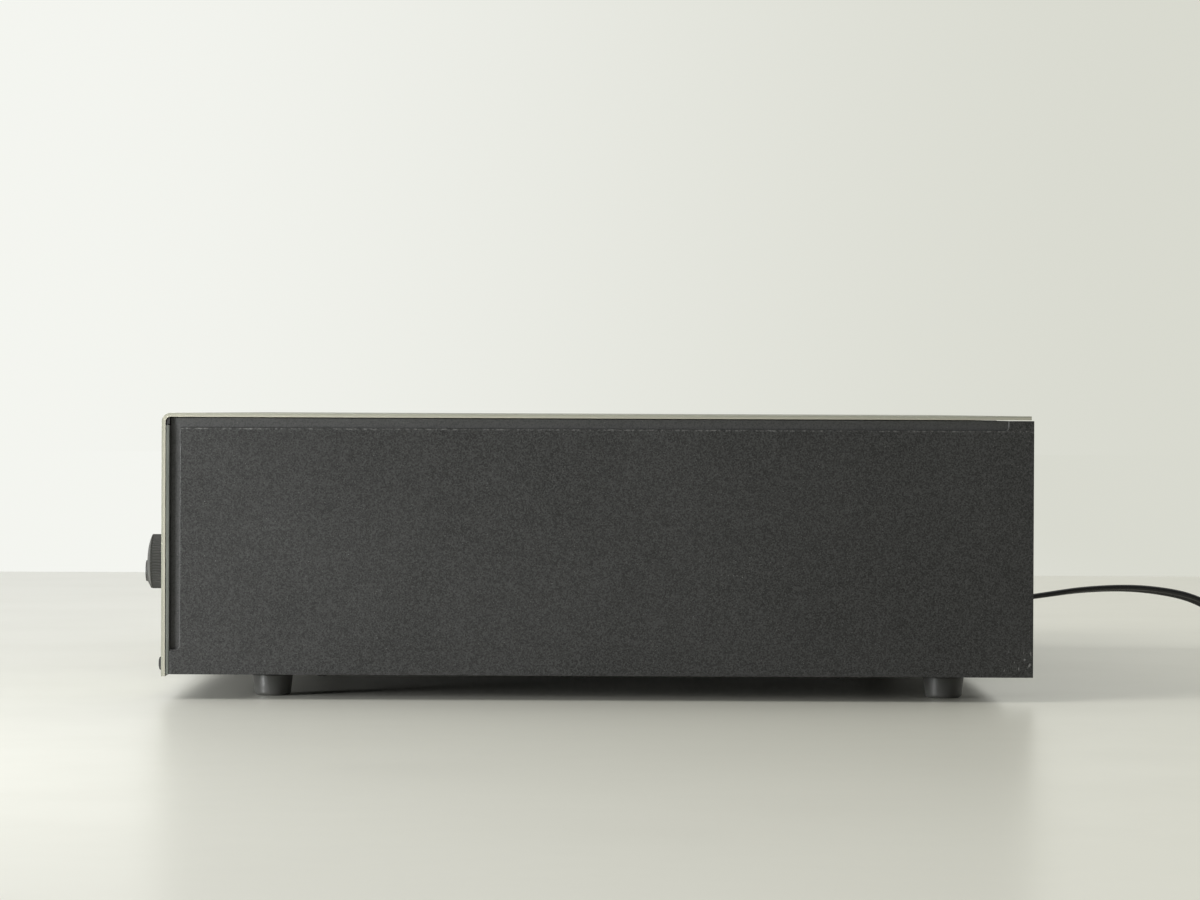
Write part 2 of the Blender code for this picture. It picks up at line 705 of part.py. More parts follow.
def make_pan():
    """The bottom sheet, pressed down inside a sloped rim so that the feet stand on the pressed part."""
    side = SIDE_INNER - GAP
    front = INNER_FRONT
    back = REAR_FACE - REAR_SHEET - GAP
    rim_side = side - PAN_SIDE_RIM
    rim_front = FRONT + PAN_FRONT_RIM
    rim_back = REAR - PAN_REAR_RIM
    columns = [-side, -rim_side, PAN_SLOPE - rim_side, rim_side - PAN_SLOPE, rim_side, side]
    rows = [front, rim_front, rim_front + PAN_SLOPE, rim_back - PAN_SLOPE, rim_back, back]
    last = len(columns) - 1
    bm = bmesh.new()
    bmesh.ops.create_grid(bm, x_segments=last, y_segments=last, size=last / 2)
    for vert in bm.verts:
        column = round(vert.co.x + last / 2)
        row = round(vert.co.y + last / 2)
        pressed = 1 < column < last - 1 and 1 < row < last - 1
        vert.co = (columns[column], rows[row], PAN_TOP - PAN_PRESS * pressed)
    pan = place("bottom_pan", mesh_of(bm, "bottom_pan"), "plated_steel")
    solid = pan.modifiers.new("sheet", "SOLIDIFY")
    solid.thickness = PAN_SHEET
    solid.offset = -1
    notch_half = POWER_SIZE[0] / 2 + PAN_NOTCH
    notch = (
        (POWER_CENTRE_X - notch_half, front - OVERRUN, PAN_LOW - OVERRUN),
        (POWER_CENTRE_X + notch_half, FRONT + BUTTON_REAR + POWER_TRAVEL + PAN_NOTCH, PAN_TOP + OVERRUN),
    )
    cut_boxes(pan, [notch], "notch")


def make_feet():
    """Four tapered plastic feet, rounded at the floor."""
    top = PAN_LOW - GAP
    ys = {"front": FRONT + FOOT_FRONT, "rear": REAR - FOOT_REAR}
    xs = {"left": FOOT_SIDE - WIDTH / 2, "right": WIDTH / 2 - FOOT_SIDE}
    profile = [
        (0, top),
        (FOOT_TOP_RADIUS, top),
        (FOOT_LOW_RADIUS + FOOT_EDGE / 4, FOOT_EDGE),
        (FOOT_LOW_RADIUS - FOOT_EDGE / 4, FOOT_EDGE / 4),
        (FOOT_LOW_RADIUS - FOOT_EDGE, 0),
        (0, 0),
    ]
    for row, y in ys.items():
        for end, x in xs.items():
            turned(f"foot_{row}_{end}", profile, "black_rubber", (x, y, 0), axis="Z", steps=28)


def make_rear():
    """The rear sheet, with vents, the hole for the cord's boot, and four line sockets on one strip."""
    back = REAR_FACE
    low = (-SIDE_INNER + GAP, back - REAR_SHEET, BODY_BOTTOM)
    high = (SIDE_INNER - GAP, back, CEILING)
    panel = block("rear_panel", low, high, "charcoal_paint")
    bore_start = (EXIT_X, back - OVERRUN - REAR_SHEET, EXIT_Z)
    bore_end = (EXIT_X, back + OVERRUN, EXIT_Z)
    cut_rods(panel, [(bore_start, bore_end, BOOT_NECK + GAP, "Y")], "cord_hole")
    slots = []
    for i in range(VENT_COUNT // 2):
        x = WIDTH / 2 - VENT_SIDE - VENT_PITCH * i
        slots.append(
            (
                (x - VENT_WIDTH / 2, back - REAR_SHEET - OVERRUN, SOCKET_Z - VENT_LENGTH / 2),
                (x + VENT_WIDTH / 2, back + OVERRUN, SOCKET_Z + VENT_LENGTH / 4),
            )
        )
    cut_boxes(panel, slots, "vents")
    strip_front = back + GAP
    strip_back = strip_front + SOCKET_PLATE
    half = SOCKET_PITCH / 2
    strip = block(
        "line_sockets",
        (SOCKET_X - half - SOCKET_BORDER, strip_front, SOCKET_Z - half - SOCKET_BORDER),
        (SOCKET_X + half + SOCKET_BORDER, strip_back, SOCKET_Z + half + SOCKET_BORDER),
        "black_plastic",
    )
    centres = [(SOCKET_X + a * half, SOCKET_Z + b * half) for a in (-1, 1) for b in (-1, 1)]
    inside = strip_back - SOCKET_PLATE / 2
    end = strip_front + SOCKET_REACH
    barrels = [((x, inside, z), (x, end, z), SOCKET_RADIUS, "Y") for x, z in centres]
    join_shapes(strip, [], barrels, "barrels")
    bores = [((x, strip_back, z), (x, end + OVERRUN, z), SOCKET_BORE, "Y") for x, z in centres]
    cut_rods(strip, bores, "bores")


def make_door():
    """The door plate with its rolled lower edge, the window in it, and the pin it turns on."""
    top = DOOR_HIGH - DOOR_FIT
    back = FRONT + DOOR_SHEET
    pivot = (BAY_X, HINGE_Y, HINGE_Z)
    half = DOOR_WIDTH / 2 - DOOR_FIT
    outline = arc((FRONT + DOOR_EDGE, top - DOOR_EDGE), DOOR_EDGE, 90, 180, 3)
    outline += arc((HINGE_Y, HINGE_Z), DOOR_ROLL, 180, 360, 12)
    outline += arc((HINGE_Y, HINGE_Z), DOOR_ROLL, 360 + 30, 360 + 60, 2)
    outline += [(back, HINGE_Z + DOOR_ROLL), (back, top)]
    mesh = prism("cassette_door", [outline], "YZ", BAY_X - half, BAY_X + half, pivot)
    door = place("cassette_door", mesh, "warm_grey_paint", pivot)
    window_z = HUB_Z
    width = WINDOW_WIDTH / 2
    height = WINDOW_HEIGHT / 2
    hole = (
        (BAY_X - width, FRONT - OVERRUN, window_z - height),
        (BAY_X + width, back + OVERRUN, window_z + height),
    )
    cut_boxes(door, [hole], "window")
    run = BAY_HALF + OVERRUN
    pin_bore = ((BAY_X - run, HINGE_Y, HINGE_Z), (BAY_X + run, HINGE_Y, HINGE_Z), DOOR_PIN + GAP, "X")
    cut_rods(door, [pin_bore], "pin_bore")
    pane_front = FRONT + WINDOW_DROP
    block(
        "door_window",
        (BAY_X - width + GAP, pane_front, window_z - height + GAP),
        (BAY_X + width - GAP, pane_front + WINDOW_SHEET, window_z + height - GAP),
        "smoked_window",
        pivot,
    )
    bm = bmesh.new()
    reach = BAY_HALF - GAP
    pin_start = (BAY_X - reach, HINGE_Y, HINGE_Z)
    pin_end = (BAY_X + reach, HINGE_Y, HINGE_Z)
    rod_between(bm, pin_start, pin_end, DOOR_PIN, "X", sides=16)
    place("door_hinge_pin", mesh_of(bm, "door_hinge_pin"), "plated_steel")


def make_holder():
    """The basket that carries the cassette: a front plate, two lipped rails and a shelf in each corner."""
    pivot = (BAY_X, HINGE_Y, HINGE_Z)
    outer = RAIL_INNER + RAIL_WALL
    inner = RAIL_INNER
    lip = inner - RAIL_LIP
    plate_back = HOLDER_FRONT + HOLDER_SHEET
    right = [
        (outer, HOLDER_FRONT),
        (outer, HOLDER_BACK),
        (lip, HOLDER_BACK),
        (lip, CASSETTE_BACK),
        (inner, CASSETTE_BACK),
        (inner, plate_back),
    ]
    outline = [(BAY_X + x, y) for x, y in right] + [(BAY_X - x, y) for x, y in reversed(right)]
    low = CASSETTE_LOW
    high = low + CASSETTE_HEIGHT
    mesh = prism("cassette_holder", [outline], "XY", low - SHELF_SHEET, high, pivot)
    holder = place("cassette_holder", mesh, "black_plastic", pivot)
    width = WINDOW_WIDTH / 2
    height = WINDOW_HEIGHT / 2
    view = (
        (BAY_X - width, HOLDER_FRONT - OVERRUN, HUB_Z - height),
        (BAY_X + width, plate_back + OVERRUN, HUB_Z + height),
    )
    relief_top = HINGE_Z + DOOR_ROLL + GAP
    relief = (
        (BAY_X - outer - OVERRUN, HOLDER_FRONT - OVERRUN, low - SHELF_SHEET - OVERRUN),
        (BAY_X + outer + OVERRUN, HINGE_Y + DOOR_ROLL + GAP, relief_top),
    )
    cut_boxes(holder, [view, relief], "openings")
    shelf_front = HINGE_Y + DOOR_ROLL + GAP
    shelves = []
    for side in (-1, 1):
        near = BAY_X + side * (inner - SHELF_LENGTH)
        far = BAY_X + side * (inner + RAIL_WALL / 2)
        shelves.append(
            (
                (min(near, far), shelf_front, low - SHELF_SHEET),
                (max(near, far), CASSETTE_BACK + LIP_SHEET / 2, low),
            )
        )
    join_shapes(holder, shelves, [], "shelves")


def make_bay():
    """The walls round the cassette, open at both ends, with the ears that hold the door's pin."""
    low = (BAY_X - BAY_HALF, BACKING_FRONT, BAY_LOW)
    high = (BAY_X + BAY_HALF, PLATE_FRONT - GAP, BAY_HIGH)
    bay = block("cassette_bay", low, high, "black_plastic")
    hollow = (
        (low[0] + BAY_WALL, low[1] - OVERRUN, low[2] + BAY_WALL),
        (high[0] - BAY_WALL, high[1] + OVERRUN, high[2] - BAY_WALL),
    )
    cut_boxes(bay, [hollow], "hollow")
    run = BAY_HALF + OVERRUN
    pin_bore = ((BAY_X - run, HINGE_Y, HINGE_Z), (BAY_X + run, HINGE_Y, HINGE_Z), DOOR_PIN + GAP, "X")
    cut_rods(bay, [pin_bore], "pin_bore")


def make_mechanism_plate():
    """The steel plate behind the bay, bored for spindles and capstan, with its studs and motor posts."""
    low = (BAY_X - BAY_HALF, PLATE_FRONT, BAY_LOW)
    high = (BAY_X + BAY_HALF, PLATE_BACK, BAY_HIGH)
    plate = block("mechanism_plate", low, high, "plated_steel")
    start = PLATE_FRONT - OVERRUN
    end = PLATE_BACK + OVERRUN
    bores = []
    for x in (BAY_X - HUB_SPACING / 2, BAY_X + HUB_SPACING / 2):
        bores.append(((x, start, HUB_Z), (x, end, HUB_Z), HUB_SHAFT + GAP, "Y"))
    bores.append(((CAPSTAN_X, start, CAPSTAN_Z), (CAPSTAN_X, end, CAPSTAN_Z), CAPSTAN_RADIUS + GAP, "Y"))
    cut_rods(plate, bores, "bores")
    inside = PLATE_FRONT + PLATE_SHEET / 2
    stud_front = PLATE_FRONT - GAP - BRIDGE_SHEET - GAP
    stud_z = BRIDGE_LOW + BRIDGE_STUD_RISE
    studs = []
    for s in (-1, 1):
        x = BAY_X + s * BRIDGE_STUD_SPACING / 2
        studs.append(((x, stud_front, stud_z), (x, inside, stud_z), BRIDGE_STUD, "Y"))
    pivot_front = PLATE_FRONT - ARM_SHEET - GAP
    studs.append(((PIVOT_X, pivot_front, PIVOT_Z), (PIVOT_X, inside, PIVOT_Z), ARM_PIVOT, "Y"))
    join_shapes(plate, [], studs, "studs")
    posts = []
    for i in range(MOTOR_POSTS):
        angle = math.pi / 2 * (i + 1)
        x = MOTOR_X + MOTOR_POST_RING * math.cos(angle)
        z = CAPSTAN_Z + MOTOR_POST_RING * math.sin(angle)
        posts.append(((x, inside, z), (x, motor_face() - GAP, z), MOTOR_POST, "Y"))
    join_shapes(plate, [], posts, "motor_posts")


def motor_face():
    return FLYWHEEL_FRONT + FLYWHEEL_THICK + MOTOR_CLEAR


def make_spindle(name, side):
    """A spindle: its six-finned hub, the table under it, and the shaft and pulley behind the plate."""
    x = BAY_X + side * HUB_SPACING / 2
    origin = (x, PLATE_FRONT, HUB_Z)
    table_low = GAP
    table_high = GAP + HUB_TABLE_SHEET
    tip = PLATE_FRONT - CASSETTE_FRONT - HUB_CLEAR
    behind = -PLATE_SHEET - GAP
    profile = [
        (0, tip),
        (HUB_CORE - HUB_TIP, tip),
        (HUB_CORE, tip - HUB_TIP),
        (HUB_CORE, table_high),
        (HUB_TABLE, table_high),
        (HUB_TABLE, table_low),
        (HUB_SHAFT, table_low),
        (HUB_SHAFT, behind),
        (HUB_PULLEY, behind),
        (HUB_PULLEY, behind - HUB_PULLEY_SHEET),
        (0, behind - HUB_PULLEY_SHEET),
    ]
    spindle = turned(name, profile, "white_plastic", origin, steps=24)
    applied(spindle)
    fin_back = PLATE_FRONT - table_high
    fin_front = PLATE_FRONT - tip + HUB_TIP
    half = HUB_FIN_SHEET / 2
    for i in range(HUB_BLADES):
        bm = bmesh.new()
        cube_between(bm, (-HUB_FIN, fin_front, -half), (HUB_FIN, fin_back + HUB_TABLE_SHEET / 2, half))
        turn = Matrix.Translation((x, 0, HUB_Z)) @ Matrix.Rotation(math.pi / HUB_BLADES * i, 4, "Y")
        bmesh.ops.transform(bm, matrix=turn, verts=bm.verts)
        boolean(spindle, bm, "UNION", f"fin_{i}")


def make_flywheel():
    """The capstan and its flywheel, one turned piece."""
    reach = PLATE_FRONT - CASSETTE_FRONT - CAPSTAN_REACH
    face = PLATE_FRONT - FLYWHEEL_FRONT
    back = face - FLYWHEEL_THICK
    profile = [
        (0, reach),
        (CAPSTAN_RADIUS, reach),
        (CAPSTAN_RADIUS, face + FLYWHEEL_BOSS),
        (FLYWHEEL_HUB, face + FLYWHEEL_BOSS),
        (FLYWHEEL_HUB, face),
        (FLYWHEEL_RADIUS, face),
        (FLYWHEEL_RADIUS, back),
        (FLYWHEEL_RADIUS - FLYWHEEL_RIM, back),
        (FLYWHEEL_RADIUS - FLYWHEEL_RIM, face - FLYWHEEL_WEB),
        (FLYWHEEL_HUB, face - FLYWHEEL_WEB),
        (FLYWHEEL_HUB, back),
        (0, back),
    ]
    turned("capstan_flywheel", profile, "turned_brass", (CAPSTAN_X, PLATE_FRONT, CAPSTAN_Z), steps=40)


def make_motor():
    """The motor on its posts, its pulley, and the flat belt round pulley and flywheel."""
    face = motor_face()
    shaft_tip = FLYWHEEL_FRONT
    profile = [
        (0, face - shaft_tip),
        (MOTOR_SHAFT, face - shaft_tip),
        (MOTOR_SHAFT, 0),
        (MOTOR_RADIUS, 0),
        (MOTOR_RADIUS, -MOTOR_LENGTH),
        (0, -MOTOR_LENGTH),
    ]
    turned("drive_motor", profile, "plated_steel", (MOTOR_X, face, CAPSTAN_Z), steps=28)
    belt_middle = FLYWHEEL_FRONT + FLYWHEEL_THICK / 2
    groove = BELT_WIDTH / 2 + GAP
    edge = groove + PULLEY_FLANGE_SHEET
    pulley = [
        (PULLEY_BORE, edge),
        (PULLEY_FLANGE, edge),
        (PULLEY_FLANGE, groove),
        (PULLEY_RADIUS, groove),
        (PULLEY_RADIUS, -groove),
        (PULLEY_FLANGE, -groove),
        (PULLEY_FLANGE, -edge),
        (PULLEY_BORE, -edge),
        (PULLEY_BORE, edge),
    ]
    turned("motor_pulley", pulley, "turned_brass", (MOTOR_X, belt_middle, CAPSTAN_Z), steps=20)
    lean = math.degrees(math.acos((FLYWHEEL_RADIUS - PULLEY_RADIUS) / MOTOR_SPACING))
    loops = []
    for grow in (GAP + BELT_THICK, GAP):
        loop = arc((CAPSTAN_X, CAPSTAN_Z), FLYWHEEL_RADIUS + grow, lean - 180, 180 - lean, 30)
        loop += arc((MOTOR_X, CAPSTAN_Z), PULLEY_RADIUS + grow, 180 - lean, 180 + lean, 12)
        loops.append(loop)
    mesh = prism("drive_belt", loops, "XZ", belt_middle - BELT_WIDTH / 2, belt_middle + BELT_WIDTH / 2)
    place("drive_belt", mesh, "black_rubber")


def make_bridge():
    """The head bridge, a folded plate with two slots, which lifts both heads into the cassette."""
    back = PLATE_FRONT - GAP
    front = back - BRIDGE_SHEET
    origin = (BAY_X, back, BRIDGE_HIGH)
    low = (BAY_X - BRIDGE_HALF, front, BRIDGE_LOW)
    high = (BAY_X + BRIDGE_HALF, back, BRIDGE_HIGH)
    shelf_front = HINGE_Y + DOOR_ROLL + HEAD_SHELF_FRONT
    bridge = block("head_bridge", low, high, "plated_steel", origin)
    shelf = ((low[0], shelf_front, BRIDGE_HIGH - BRIDGE_SHELF), (high[0], back, BRIDGE_HIGH))
    join_shapes(bridge, [shelf], [], "shelf")
    slots = []
    stud_z = BRIDGE_LOW + BRIDGE_STUD_RISE
    half = BRIDGE_STUD + GAP
    for s in (-1, 1):
        x = BAY_X + s * BRIDGE_STUD_SPACING / 2
        slot_low = (x - half, front - OVERRUN, stud_z - BRIDGE_TRAVEL - half)
        slot_high = (x + half, back + OVERRUN, stud_z + half)
        slots.append((slot_low, slot_high))
    cut_boxes(bridge, slots, "slots")
    head_back = front - HEAD_STEP
    foot = BRIDGE_HIGH + GAP
    make_head("record_play_head", BAY_X, HEAD_WIDTH, head_back, foot, HEAD_HEIGHT, origin)
    make_head("erase_head", BAY_X - ERASE_SPACING, ERASE_WIDTH, head_back, foot, ERASE_HEIGHT, origin)


def make_head(name, x, width, back, foot, height, origin):
    """A head case whose upper face is a crown that the tape runs over."""
    half = width / 2
    rise = min(HEAD_CROWN, half)
    crown = arc((x, foot + height - rise), rise, 150, 30, 8)
    outline = [(x + half, foot), (x + half, foot + height - rise)]
    outline += [point for point in reversed(crown)]
    outline += [(x - half, foot + height - rise), (x - half, foot)]
    mesh = prism(name, [outline], "XZ", back - HEAD_DEPTH, back, origin)
    place(name, mesh, "plated_steel", origin)


def make_pinch():
    """The pinch arm on its stud, and the rubber roller that the arm brings up against the capstan."""
    arm_back = PLATE_FRONT - GAP
    arm_front = arm_back - ARM_SHEET
    pivot = (PIVOT_X, arm_back, PIVOT_Z)
    roller = (CAPSTAN_X, ROLLER_REST_Z)
    lean = math.degrees(math.atan2(roller[1] - PIVOT_Z, roller[0] - PIVOT_X))
    outline = arc((PIVOT_X, PIVOT_Z), ARM_EYE, lean - 270, lean - 90, 8)
    outline += arc(roller, ARM_EYE, lean - 90, lean + 90, 8)
    eye = arc((PIVOT_X, PIVOT_Z), ARM_PIVOT + GAP, 0, 360, 12)[:-1]
    mesh = prism("pinch_arm", [outline, eye], "XZ", arm_front, arm_back, pivot)
    arm = place("pinch_arm", mesh, "plated_steel", pivot)
    roller_back = arm_front - GAP
    roller_front = roller_back - ROLLER_LENGTH
    pin_front = (roller[0], roller_front, roller[1])
    pin_back = (roller[0], arm_back - ARM_SHEET / 2, roller[1])
    join_shapes(arm, [], [(pin_front, pin_back, ROLLER_PIN, "Y")], "pin")
    half = ROLLER_LENGTH / 2
    profile = [
        (ROLLER_BORE, half),
        (ROLLER_RADIUS, half),
        (ROLLER_RADIUS, -half),
        (ROLLER_BORE, -half),
        (ROLLER_BORE, half),
    ]
    middle = (roller[0], (roller_front + roller_back) / 2, roller[1])
    turned("pinch_roller", profile, "black_rubber", middle, steps=24)


def make_keys():
    """Six dished piano keys in a row and the open-fronted frame that guides them."""
    names = ["record_key", "rewind_key", "fast_forward_key", "play_key", "stop_key", "pause_key"]
    tip = FRONT - KEY_PROUD
    back = FRONT + KEY_REAR
    middle_z = (KEY_LOW + KEY_HIGH) / 2
    for i, name in enumerate(names):
        left = CONTROL_LEFT + KEY_PITCH * i + KEY_FIT / 2
        right = left + KEY_PITCH - KEY_FIT
        if i == 0:
            left += KEY_FIT / 2
        if i == len(names) - 1:
            right -= KEY_FIT / 2
        outline = [(back, KEY_LOW), (back, KEY_HIGH)]
        outline += arc((tip + KEY_NOSE, KEY_HIGH - KEY_NOSE), KEY_NOSE, 90, 180, 4)
        outline += [(tip + KEY_DISH, middle_z)]
        outline += arc((tip + KEY_NOSE, KEY_LOW + KEY_NOSE), KEY_NOSE, 180, 270, 4)
        origin = ((left + right) / 2, FRONT, middle_z)
        mesh = prism(name, [outline], "YZ", left, right, origin)
        place(name, mesh, "red_cap" if name == "record_key" else "dark_knob", origin)
    wall = KEY_FRAME_WALL
    frame_back = back + KEY_TRAVEL + GAP + wall
    low = (CONTROL_LEFT - wall, INNER_FRONT, KEY_LOW - KEY_FIT - wall)
    high = (CONTROL_RIGHT + wall, frame_back, KEY_HIGH + KEY_FIT + wall)
    frame = block("key_frame", low, high, "black_plastic")
    hollow = (
        (CONTROL_LEFT, low[1] - OVERRUN, KEY_LOW - KEY_FIT),
        (CONTROL_RIGHT, frame_back - wall, KEY_HIGH + KEY_FIT),
    )
    cut_boxes(frame, [hollow], "hollow")


def make_counter():
    """The three-wheel tape counter in its housing, and its reset button."""
    low = (COUNTER_LEFT - COUNTER_WALL, INNER_FRONT, COUNTER_LOW - GAP - COUNTER_WALL)
    back = COUNTER_Y + COUNTER_WHEEL + GAP
    high_z = COUNTER_LOW + 2 * COUNTER_WHEEL + GAP
    high = (COUNTER_LEFT + COUNTER_SPAN + COUNTER_WALL, back + COUNTER_WALL, high_z + COUNTER_WALL)
    housing = block("counter_housing", low, high, "black_plastic")
    hollow_low = (COUNTER_LEFT, low[1] - OVERRUN, COUNTER_LOW - GAP)
    hollow_high = (COUNTER_LEFT + COUNTER_SPAN, back, high_z)
    cut_boxes(housing, [(hollow_low, hollow_high)], "hollow")
    shaft_start = COUNTER_LEFT - COUNTER_WALL / 2
    shaft_end = COUNTER_LEFT + COUNTER_SPAN + COUNTER_WALL / 2
    shaft = ((shaft_start, COUNTER_Y, COUNTER_Z), (shaft_end, COUNTER_Y, COUNTER_Z), COUNTER_SHAFT, "X")
    join_shapes(housing, [], [shaft], "shaft")
    half = COUNTER_WHEEL_WIDTH / 2
    profile = [
        (COUNTER_BORE, half),
        (COUNTER_WHEEL, half),
        (COUNTER_WHEEL, -half),
        (COUNTER_BORE, -half),
        (COUNTER_BORE, half),
    ]
    for i, name in enumerate(["hundreds", "tens", "units"]):
        x = COUNTER_LEFT + COUNTER_GAP + half + i * (COUNTER_WHEEL_WIDTH + COUNTER_GAP)
        middle = (x, COUNTER_Y, COUNTER_Z)
        turned(f"counter_wheel_{name}", profile, "white_plastic", middle, axis="X", steps=30)
    bm = bmesh.new()
    origin = (RESET_X, FRONT, COUNTER_Z)
    start = (RESET_X, FRONT - RESET_PROUD, COUNTER_Z)
    end = (RESET_X, FRONT + BUTTON_REAR, COUNTER_Z)
    rod_between(bm, start, end, RESET_RADIUS, "Y", sides=20)
    place("counter_reset_button", mesh_of(bm, "counter_reset_button", origin), "dark_knob", origin)


def push_button(name, x, z, size, proud, edge, finish):
    origin = (x, FRONT, z)
    low = (x - size[0] / 2, FRONT - proud, z - size[1] / 2)
    high = (x + size[0] / 2, FRONT + BUTTON_REAR, z + size[1] / 2)
    button = block(name, low, high, finish, origin)
    bevelled(button, edge)
    return button


def make_buttons():
    """Noise reduction, tape type, eject and power, each a push button in its own hole."""
    for name, x in zip(["noise_reduction_button", "tape_type_button"], BUTTON_XS):
        push_button(name, x, BUTTON_Z, BUTTON_SIZE, BUTTON_PROUD, BUTTON_EDGE, "dark_knob")
    push_button("eject_button", EJECT_X, EJECT_Z, EJECT_SIZE, BUTTON_PROUD, BUTTON_EDGE, "dark_knob")
    finish = "black_plastic"
    power = push_button(
        "power_button", POWER_CENTRE_X, POWER_Z, POWER_SIZE, POWER_PROUD, POWER_DOME, finish
    )
    shade_round(power)


def make_meter():
    """The dark pane in front of the level meters, which stands on a ledge of the backing."""
    low = (CONTROL_LEFT + GAP, COVER_BACK - METER_SHEET, METER_LOW + GAP)
    high = (CONTROL_RIGHT - GAP, COVER_BACK, METER_HIGH - GAP)
    block("level_meter_window", low, high, "smoked_window")


def ribbed(obj, ribs, inside, outside):
    """Draws every second column of a turned piece's outer wall inwards, which leaves ribs along its axis."""
    applied(obj)
    for vert in obj.data.vertices:
        radius = math.hypot(vert.co.x, vert.co.y)
        column = round(math.atan2(vert.co.y, vert.co.x) / math.pi * ribs)
        if column % 2 and inside < radius <= outside:
            share = 1 - RIB_DEPTH / radius
            vert.co.x *= share
            vert.co.y *= share
    shade_round(obj)


def make_knobs():
    """The large domed level knob and the small stepped one, both finely ribbed, and their controls."""
    stand = KNOB_STAND
    dome = KNOB_REACH - KNOB_RIM
    big = [(0, KNOB_REACH)]
    for share in DOME_SHARES:
        big.append((KNOB_RADIUS * share, KNOB_RIM + dome * (1 - share**2) ** DOME_POWER))
    big += [
        (KNOB_RADIUS, KNOB_RIM),
        (KNOB_RADIUS, stand),
        (KNOB_BORE, stand),
        (KNOB_BORE, KNOB_RIM - KNOB_BORE_END),
        (0, KNOB_RIM - KNOB_BORE_END),
    ]
    knob = turned("record_level_knob", big, "dark_knob", (BIG_KNOB_X, FRONT, KNOB_Z), steps=2 * KNOB_RIBS)
    ribbed(knob, KNOB_RIBS, KNOB_RADIUS * RIB_INNER_SHARE, KNOB_RADIUS * RIB_OUTER_SHARE)
    small = [
        (0, SMALL_KNOB_REACH + SMALL_KNOB_PIP),
        (SMALL_KNOB_PIP_RADIUS, SMALL_KNOB_REACH),
        (SMALL_KNOB_CAP, SMALL_KNOB_REACH),
        (SMALL_KNOB_CAP, SMALL_KNOB_SHOULDER),
        (SMALL_KNOB_RADIUS, SMALL_KNOB_RIM),
        (SMALL_KNOB_RADIUS, stand),
        (KNOB_BORE, stand),
        (KNOB_BORE, KNOB_RIM),
        (0, KNOB_RIM),
    ]
    origin = (SMALL_KNOB_X, FRONT, SMALL_KNOB_Z)
    knob = turned("output_level_knob", small, "dark_knob", origin, steps=2 * SMALL_KNOB_RIBS)
    ribbed(knob, SMALL_KNOB_RIBS, SMALL_KNOB_CAP * RIB_INNER_SHARE, SMALL_KNOB_RADIUS * RIB_OUTER_SHARE)
    body_front = INNER_FRONT
    body_back = body_front + POT_LENGTH
    low_z = min(KNOB_Z, SMALL_KNOB_Z) - POT_RADIUS - POT_BORDER
    high_z = max(KNOB_Z, SMALL_KNOB_Z) + POT_RADIUS + POT_BORDER
    board = block(
        "level_controls",
        (SMALL_KNOB_X - POT_RADIUS - POT_BORDER, body_back, low_z),
        (BIG_KNOB_X + POT_RADIUS + POT_BORDER, body_back + POT_BOARD, high_z),
        "board_brown",
    )
    inside = body_back + POT_BOARD / 2
    shaft_tip = FRONT - KNOB_RIM + KNOB_BORE_END + GAP
    rods = []
    for x, z in ((BIG_KNOB_X, KNOB_Z), (SMALL_KNOB_X, SMALL_KNOB_Z)):
        rods.append(((x, body_front, z), (x, inside, z), POT_RADIUS, "Y"))
        rods.append(((x, shaft_tip, z), (x, inside, z), POT_SHAFT, "Y"))
    join_shapes(board, [], rods, "controls")


def make_jack():
    """The headphone jack: a bush through the front, and its open-mouthed body."""
    half_x = JACK_BODY[0] / 2
    half_z = JACK_BODY[1] / 2
    low = (JACK_X - half_x, INNER_FRONT, JACK_Z - half_z)
    high = (JACK_X + half_x, INNER_FRONT + JACK_LENGTH, JACK_Z + half_z)
    jack = block("headphone_jack", low, high, "black_plastic")
    tip = FRONT - JACK_PROUD
    bush = ((JACK_X, tip, JACK_Z), (JACK_X, INNER_FRONT + OVERRUN, JACK_Z), JACK_BUSH, "Y")
    join_shapes(jack, [], [bush], "bush")
    bore = ((JACK_X, tip - OVERRUN, JACK_Z), (JACK_X, high[1] - OVERRUN, JACK_Z), JACK_BORE, "Y")
    cut_rods(jack, [bore], "bore")


